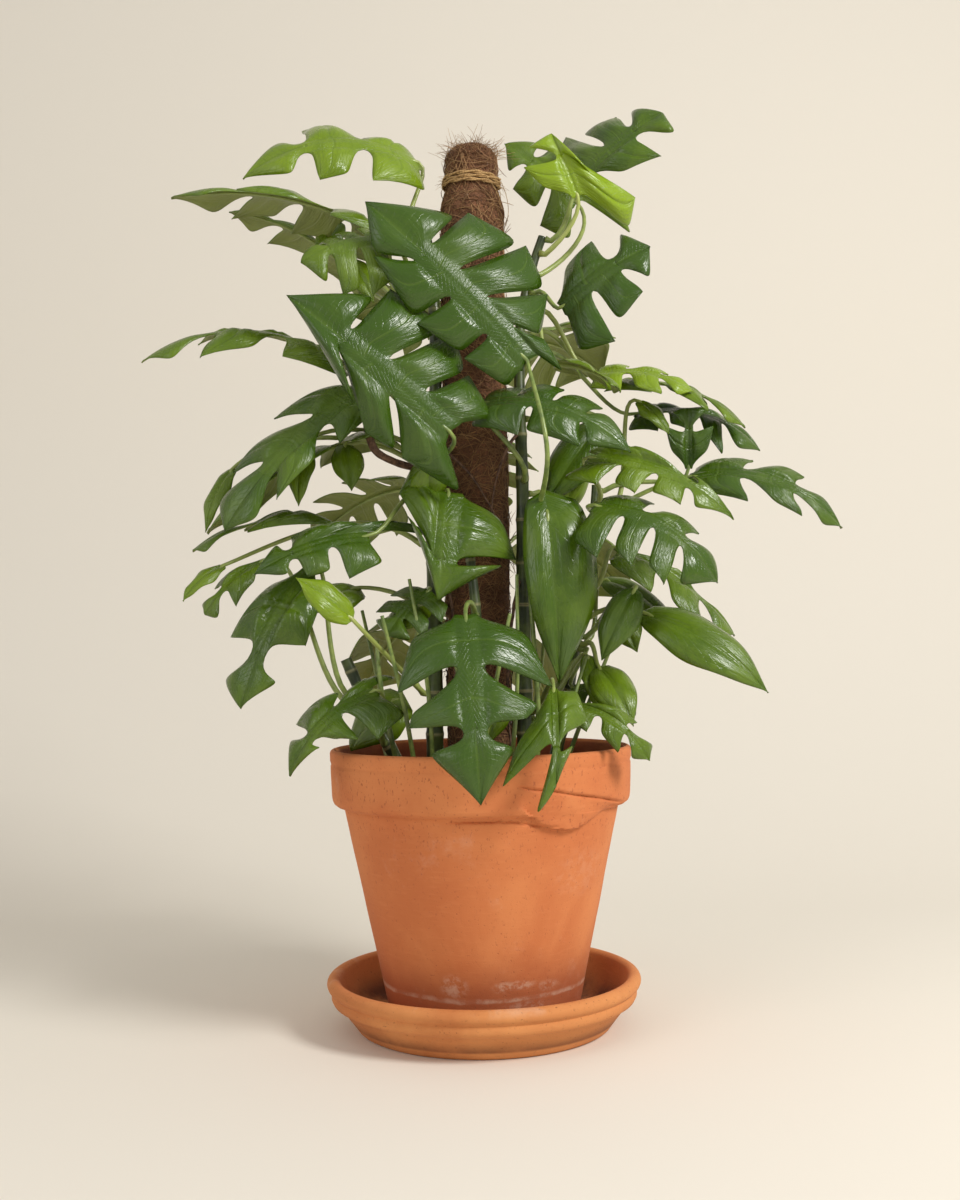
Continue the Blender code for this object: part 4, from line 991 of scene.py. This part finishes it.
def lobe_tip(leaf, side, number):
    """Where a lobe ends on the flat blade: its forward outer corner."""
    if leaf.name in LOBE_TIPS:
        along, across = LOBE_TIPS[leaf.name][0 if side < 0 else 1][number]
        return Vector((along, side * across, 0.0)) * leaf_length(leaf)
    step = lobed_zone / leaf.lobes[0 if side < 0 else 1]
    return flat_place(leaf, side, (number + 0.9) * step, 1 + 0.1 * wobble(leaf, side * (number + 1)))


def lobe_shoulder(leaf, side, number):
    """The rounded rear corner of a lobe, just in front of the tip of the lobe behind it."""
    step = lobed_zone * leaf_length(leaf) / leaf.lobes[0 if side < 0 else 1]
    if number == 0:
        first = lobe_tip(leaf, side, 0)
        return Vector((first.x - min(1.1 * step, first_lobe * leaf_length(leaf)), 0.75 * first.y, 0.0))
    behind = lobe_tip(leaf, side, number - 1)
    return Vector((behind.x + SLIT[leaf.kind] * step, SHOULDER[leaf.kind] * behind.y, 0.0))


def lobe_edges(leaf, side, number, out):
    """The points of a lobe's rear and front edges, a share of the way out from its foot."""
    step = lobed_zone / leaf.lobes[0 if side < 0 else 1]
    end = lobe_tip(leaf, side, number)
    opening = Vector((SLIT_FOOT[leaf.kind] * step * leaf_length(leaf), 0.0, 0.0))
    rear_foot = flat_place(leaf, side, number * step, SINUS[leaf.kind])
    front_foot = flat_place(leaf, side, (number + 1) * step, SINUS[leaf.kind])
    corner = lobe_shoulder(leaf, side, number)
    rear = on_curve((rear_foot, rear_foot + opening, corner, corner, corner, end), out)
    front = on_curve((front_foot, front_foot - opening, front_foot.lerp(end, 0.6) - 0.1 * opening,
                      end), out)
    return rear, front


def end_edge(leaf, side, share):
    """The edge of the end lobe, from the last slit to the tip."""
    length = leaf_length(leaf)
    count = leaf.lobes[0 if side < 0 else 1]
    root = flat_place(leaf, side, lobed_zone, SINUS[leaf.kind])
    opening = Vector((SLIT_FOOT[leaf.kind] * lobed_zone * length / count, 0.0, 0.0))
    corner = lobe_shoulder(leaf, side, count)
    corner.y = side * min(abs(corner.y), 0.9 * leaf.halves[0 if side < 0 else 1])
    near_tip = Vector(((corner.x + 3 * length) / 4, 0.16 * corner.y, 0.0))
    tip = Vector((length, 0.0, 0.0))
    return on_curve((root, root + opening, corner, corner, corner, near_tip, tip), share)


def blade_axes(leaf):
    """Along the chord of the rib, to its right, and out of the upper face."""
    chord = (Vector(leaf.tip) - Vector(leaf.base)).normalized()
    face = Vector(leaf.face)
    up = (face - face.dot(chord) * chord).normalized()
    return chord, chord.cross(up), up


def bent(leaf, place):
    """Moves a point of the flat blade to where the arched, folded blade has it."""
    along, across, lift = place
    chord, right, up = blade_axes(leaf)
    length = leaf_length(leaf)
    share = along / length
    rise = 4 * leaf.arch * length
    rib = Vector(leaf.base) + chord * along + up * rise * share * (1 - share)
    forward = (chord * length + up * rise * (1 - 2 * share)).normalized()
    normal = right.cross(forward)
    reach = max(*leaf.halves, abs(across))
    tilt = math.radians(leaf.fold)
    drop = abs(across) * math.sin(tilt) - droop * across * across / reach
    return rib + right * across * math.cos(tilt) + normal * (drop + lift)


def add_patch(shape, uv, rows, columns, place, turned_over):
    """Adds a grid of faces. place gives a corner's point in metres and its pattern place."""
    grid = []
    for row in range(rows + 1):
        points = [place(row / rows, column / columns) for column in range(columns + 1)]
        grid.append([(shape.verts.new(point), mark) for point, mark in points])
    for low, high in zip(grid, grid[1:]):
        for i in range(columns):
            corners = (low[i], low[i + 1], high[i + 1], high[i])
            corners = corners[::-1] if turned_over else corners
            face = shape.faces.new([corner[0] for corner in corners])
            face.smooth = True
            for loop, corner in zip(face.loops, corners):
                loop[uv].uv = corner[1]


def groove(share, width):
    """The fold along a vein: 1 on it and 0 beside it."""
    return math.exp(-(share / width) ** 2)


def add_blade(shape, uv, leaf):
    length = leaf_length(leaf)
    for side, count in zip((-1, 1), leaf.lobes):
        half = leaf.halves[0 if side < 0 else 1]
        edge_wave = wobble(leaf, side * 3) * math.pi

        def whole(along, across):
            place = flat_place(leaf, side, along, across)
            wide = half * envelope(leaf, along)
            place.z = 0.16 * wide * 4 * across * (1 - across) * ramp(along, 0.0, 0.15) \
                - 0.8 * groove(across * wide, 1.6) \
                + 1.3 * across**3 * math.sin(along * 13 + edge_wave) * ramp(along, 0, 0.2)
            return bent(leaf, place) * MM, (0.5 + 0.5 * side * across, along)

        if count == 0:
            add_patch(shape, uv, 26, 7, whole, side < 0)
            continue
        step = lobed_zone / count
        for number in range(count):
            rear_foot = flat_place(leaf, side, number * step, SINUS[leaf.kind])
            front_foot = flat_place(leaf, side, (number + 1) * step, SINUS[leaf.kind])
            lift = 0.1 * max(leaf.halves) * wobble(leaf, side * (number + 7))

            def inner(across, way):
                rib = Vector(((number + way) * step * length, 0.0, 0.0))
                place = rib.lerp(rear_foot.lerp(front_foot, way), across)
                place.z = -0.8 * groove(across * half * SINUS[leaf.kind], 1.6)
                return bent(leaf, place) * MM, (way, across * 0.3)

            def lobe(out, way):
                out = out**0.85
                rear, front = lobe_edges(leaf, side, number, out)
                wide = (front - rear).length
                place = rear.lerp(front, way)
                place.z = lift * out**1.5 + ramp(out, 0.0, 0.3) * wide * (
                    0.13 * 4 * way * (1 - way) - 0.04 * groove(way - 0.5, 0.06)) \
                    + 0.7 * (2 * way - 1) ** 3 * math.sin(out * 9 + edge_wave + number) * ramp(out, 0, 0.5)
                return bent(leaf, place) * MM, (way, 0.3 + 0.7 * out)

            add_patch(shape, uv, 6, 24 // count, inner, side > 0)
            add_patch(shape, uv, 14, 24 // count, lobe, side > 0)

        def end_lobe(share, across):
            inner_point = Vector(((lobed_zone + (1 - lobed_zone) * share) * length, 0.0, 0.0))
            outer_point = end_edge(leaf, side, share)
            wide = (outer_point - inner_point).length
            place = inner_point.lerp(outer_point, across)
            place.z = ramp(share, 0.0, 0.3) * (
                0.13 * wide * 4 * across * (1 - across)
                + 1.0 * across**3 * math.sin(share * 9 + edge_wave)) \
                - 0.8 * groove(across * wide, 1.6)
            return bent(leaf, place) * MM, (0.5 + 0.5 * side * across, share)

        add_patch(shape, uv, 18, 6, end_lobe, side < 0)
    bmesh.ops.remove_doubles(shape, verts=shape.verts, dist=0.00001)
    bmesh.ops.dissolve_degenerate(shape, dist=0.000005, edges=shape.edges)


STEM_LINES = {name: stem_line(name, 30.0) for name in STEMS}


def stem_at(name, level):
    """Place, direction and radius of a stem where its centre line passes a height."""
    line, radii, _ = STEM_LINES[name]
    for i in range(1, len(line)):
        if line[i].z >= level or i == len(line) - 1:
            share = min(1.0, (level - line[i - 1].z) / (line[i].z - line[i - 1].z))
            return (line[i - 1].lerp(line[i], share), (line[i] - line[i - 1]).normalized(),
                    radii[i - 1] + (radii[i] - radii[i - 1]) * share)


def stalk_line(leaf):
    """From just off the stem, out and up to the blade's foot, and on along the rib."""
    place, direction, radius = stem_at(leaf.stem, leaf.height)
    base = Vector(leaf.base)
    away = Vector((place.x, place.y, 0.0)).normalized()
    out = (base - place).normalized() + 0.6 * away
    out = (out - out.dot(direction) * direction).normalized()
    start = place + out * (radius - 0.5)
    bend = place + out * (radius + 4.3)
    chord, _, up = blade_axes(leaf)
    rib_start = (chord + up * 4 * leaf.arch).normalized()
    reach = (base - bend).length
    first = bend + (out * 0.3 + Vector((0, 0, 0.25))) * reach
    second = base - rib_start * 0.3 * reach
    if leaf.name in PETIOLE_VIA:
        line = smooth_line((bend, PETIOLE_VIA[leaf.name], base), 9.0)
    else:
        line = geometry.interpolate_bezier(bend, first, second, base, max(8, int(reach / 7)))
    length = leaf_length(leaf)
    rib = [bent(leaf, (step / 22 * length, 0.0, -1.0 - 1.3 * (1 - step / 22))) for step in range(1, 22)]
    return [start] + list(line), rib


leaf_group = bpy.data.node_groups.new("leaf_veins", "ShaderNodeTree")
for socket in ("Vein", "Side veins", "Ripple"):
    leaf_group.interface.new_socket(socket, in_out="OUTPUT", socket_type="NodeSocketFloat")
tree = leaf_group
outlet = tree.nodes.new("NodeGroupOutput").inputs
pattern = tree.nodes.new("ShaderNodeTexCoord").outputs["UV"]
parts = add_node(tree, "ShaderNodeSeparateXYZ", ((0, pattern),)).outputs
off_middle = add_math(tree, "ABSOLUTE", add_math(tree, "SUBTRACT", parts[0], 0.5))
tree.links.new(add_range(tree, off_middle, 0.006, 0.035, 1.0, 0.0), outlet["Vein"])
slant = add_math(tree, "SUBTRACT", add_math(tree, "MULTIPLY", parts[1], 11.0),
                 add_math(tree, "MULTIPLY", off_middle, 9.0))
wander = add_math(tree, "MULTIPLY", add_noise(tree, pattern, 5.0, 2.0), 0.9)
wave = add_math(tree, "ABSOLUTE", add_math(tree, "SINE", add_math(tree, "MULTIPLY",
                add_math(tree, "ADD", slant, wander), math.pi)))
tree.links.new(add_range(tree, wave, 0.0, 0.3, 1.0, 0.0), outlet["Side veins"])
ripple = add_noise(tree, add_mapping(tree, pattern, (9.0, 1.6, 1.0)), 2.0, 3.0, 0.5, 0.3)
tree.links.new(ripple, outlet["Ripple"])


def leaf_material(name, old, young, vein, side_vein, roughness, coat, bump):
    """A leaf face. old and young are its colours, mixed by the leaf's own youth attribute."""
    made, tree, shader = new_material(name, Roughness=roughness, Coat_Weight=coat,
                                      Coat_Roughness=0.18)
    shader.inputs["Specular IOR Level"].default_value = 0.5
    veins = tree.nodes.new("ShaderNodeGroup")
    veins.node_tree = leaf_group
    where = object_space(tree)
    youth = attribute(tree, "youth")
    cloud = add_noise(tree, where, 26.0, 4.0, 0.6)
    fleck = add_noise(tree, where, 500.0, 2.0, 0.6)
    share = add_math(tree, "ADD", youth, add_range(tree, cloud, 0.3, 0.7, -0.10, 0.12))
    share = add_math(tree, "ADD", share, add_range(tree, fleck, 0.3, 0.7, -0.02, 0.02))
    colour = add_mix(tree, add_range(tree, share, 0.0, 1.0), old, young)
    colour = add_mix(tree, add_math(tree, "MULTIPLY", veins.outputs["Side veins"], side_vein[3]),
                     colour, side_vein[:3])
    colour = add_mix(tree, add_math(tree, "MULTIPLY", veins.outputs["Vein"], vein[3]), colour,
                     vein[:3])
    tree.links.new(add_range(tree, cloud, 0.3, 0.7, roughness - 0.06, roughness + 0.1),
                   shader.inputs["Roughness"])
    relief = add_math(tree, "SUBTRACT", veins.outputs["Ripple"],
                      add_math(tree, "MULTIPLY", veins.outputs["Side veins"], 0.12))
    relief = add_math(tree, "SUBTRACT", relief, add_math(tree, "MULTIPLY", veins.outputs["Vein"], 0.25))
    paint(tree, shader, colour, relief, 0.6, bump)
    return made


leaf_upper = leaf_material("leaf_upper_face", (0.034, 0.080, 0.002), (0.22, 0.33, 0.008),
                           (0.10, 0.17, 0.015, 0.3), (0.055, 0.11, 0.004, 0.2), 0.24, 0.0, 0.0014)
leaf_under = leaf_material("leaf_underside", (0.17, 0.20, 0.05), (0.30, 0.36, 0.07),
                           (0.27, 0.31, 0.11, 0.8), (0.2, 0.25, 0.08, 0.4), 0.42, 0.1, 0.002)
stalk_finish, tree, shader = new_material("leaf_stalk", Roughness=0.38, Coat_Weight=0.2)
where = object_space(tree)
youth = attribute(tree, "youth")
streak = add_noise(tree, where, 130.0, 4.0, 0.6)
colour = add_mix(tree, add_range(tree, streak, 0.3, 0.7), (0.095, 0.15, 0.03),
                 (0.24, 0.31, 0.07))
colour = add_mix(tree, youth, colour, (0.4, 0.46, 0.12))
paint(tree, shader, colour, streak, 0.2, 0.0008)


# Bare stalks: green leaf stalks of the inner shoots, which rise from the soil between the
# stems and end among the leaves.
STALKS = (
    (((-58, -46, 182), (-74, -54, 262), (-78, -50, 304)), 2.3),
    (((-46, -58, 182), (-56, -68, 250), (-72, -74, 322)), 2.0),
    (((-36, -60, 182), (-38, -68, 260), (-52, -58, 350)), 1.9),
    (((-20, -68, 182), (-10, -78, 240), (-24, -72, 316)), 2.2),
    (((-4, -72, 182), (8, -80, 250), (24, -72, 322)), 2.1),
    (((20, -64, 182), (28, -72, 260), (30, -60, 352)), 1.9),
    (((40, -58, 182), (44, -64, 250), (38, -50, 372)), 2.3),
    (((50, -44, 182), (66, -50, 238), (84, -34, 290)), 1.9),
    (((58, -20, 182), (80, -28, 240), (108, -26, 306)), 2.0),
    (((-62, 8, 182), (-80, 18, 260), (-96, 28, 330)), 2.0),
    (((30, 62, 182), (50, 78, 260), (60, 88, 330)), 2.2),
    (((-26, 64, 182), (-40, 78, 250), (-44, 86, 318)), 2.1),
)
shape = bmesh.new()
for route, thick in STALKS:
    line = smooth_line(route, 4.0)
    last = len(line) - 1
    add_tube(shape, line, [thick * (1.5 - 0.5 * ramp(i / last, 0.0, 0.12)) * (1 - 0.3 * i / last)
                           for i in range(last + 1)], 12)
stalks = shape_object("bare_stalks", shape)
finish_piece(stalks, stalk_finish, "stem_green")

petiole_foot, petiole_tip, blade_thickness = 2.4, 1.5, 0.7
for leaf in LEAVES + SMALL_LEAVES:
    youth = YOUTH.get(leaf.name, 0.45) + 0.05 * wobble(leaf, 41)
    shape = bmesh.new()
    uv = shape.loops.layers.uv.new("blade")
    add_blade(shape, uv, leaf)
    blade = shape_object("monstera_leaf_" + leaf.name, shape)
    thick = blade.modifiers.new("thickness", "SOLIDIFY")
    thick.thickness = blade_thickness * MM
    thick.offset = 0.0
    thick.material_offset = 1
    for material in (leaf_upper, leaf_under, stalk_finish):
        blade.data.materials.append(material)
    apply_modifiers(blade)
    shape = bmesh.new()
    shape.from_mesh(blade.data)
    line, rib = stalk_line(leaf)
    count = len(line)
    radii = []
    for i in range(count):
        share = i / (count - 1)
        radii.append((petiole_foot + (petiole_tip - petiole_foot) * share
                      + 1.3 * math.exp(-(share / 0.05) ** 2)) * (0.8 + 0.2 * ramp(share, 0, 0.1)))
    radii += [petiole_tip * (1 - i / len(rib)) ** 0.8 + 0.3 for i in range(1, len(rib) + 1)]
    for face in add_tube(shape, line + rib, radii, 10):
        face.material_index = 2
    shape.to_mesh(blade.data)
    shape.free()
    values = blade.data.attributes.new("youth", "FLOAT", "POINT")
    values.data.foreach_set("value", [youth] * len(blade.data.vertices))
    nodes = ["leaf_" + leaf.name] if leaf in LEAVES else []
    finish_piece(blade, None, "leaf_green", *nodes)
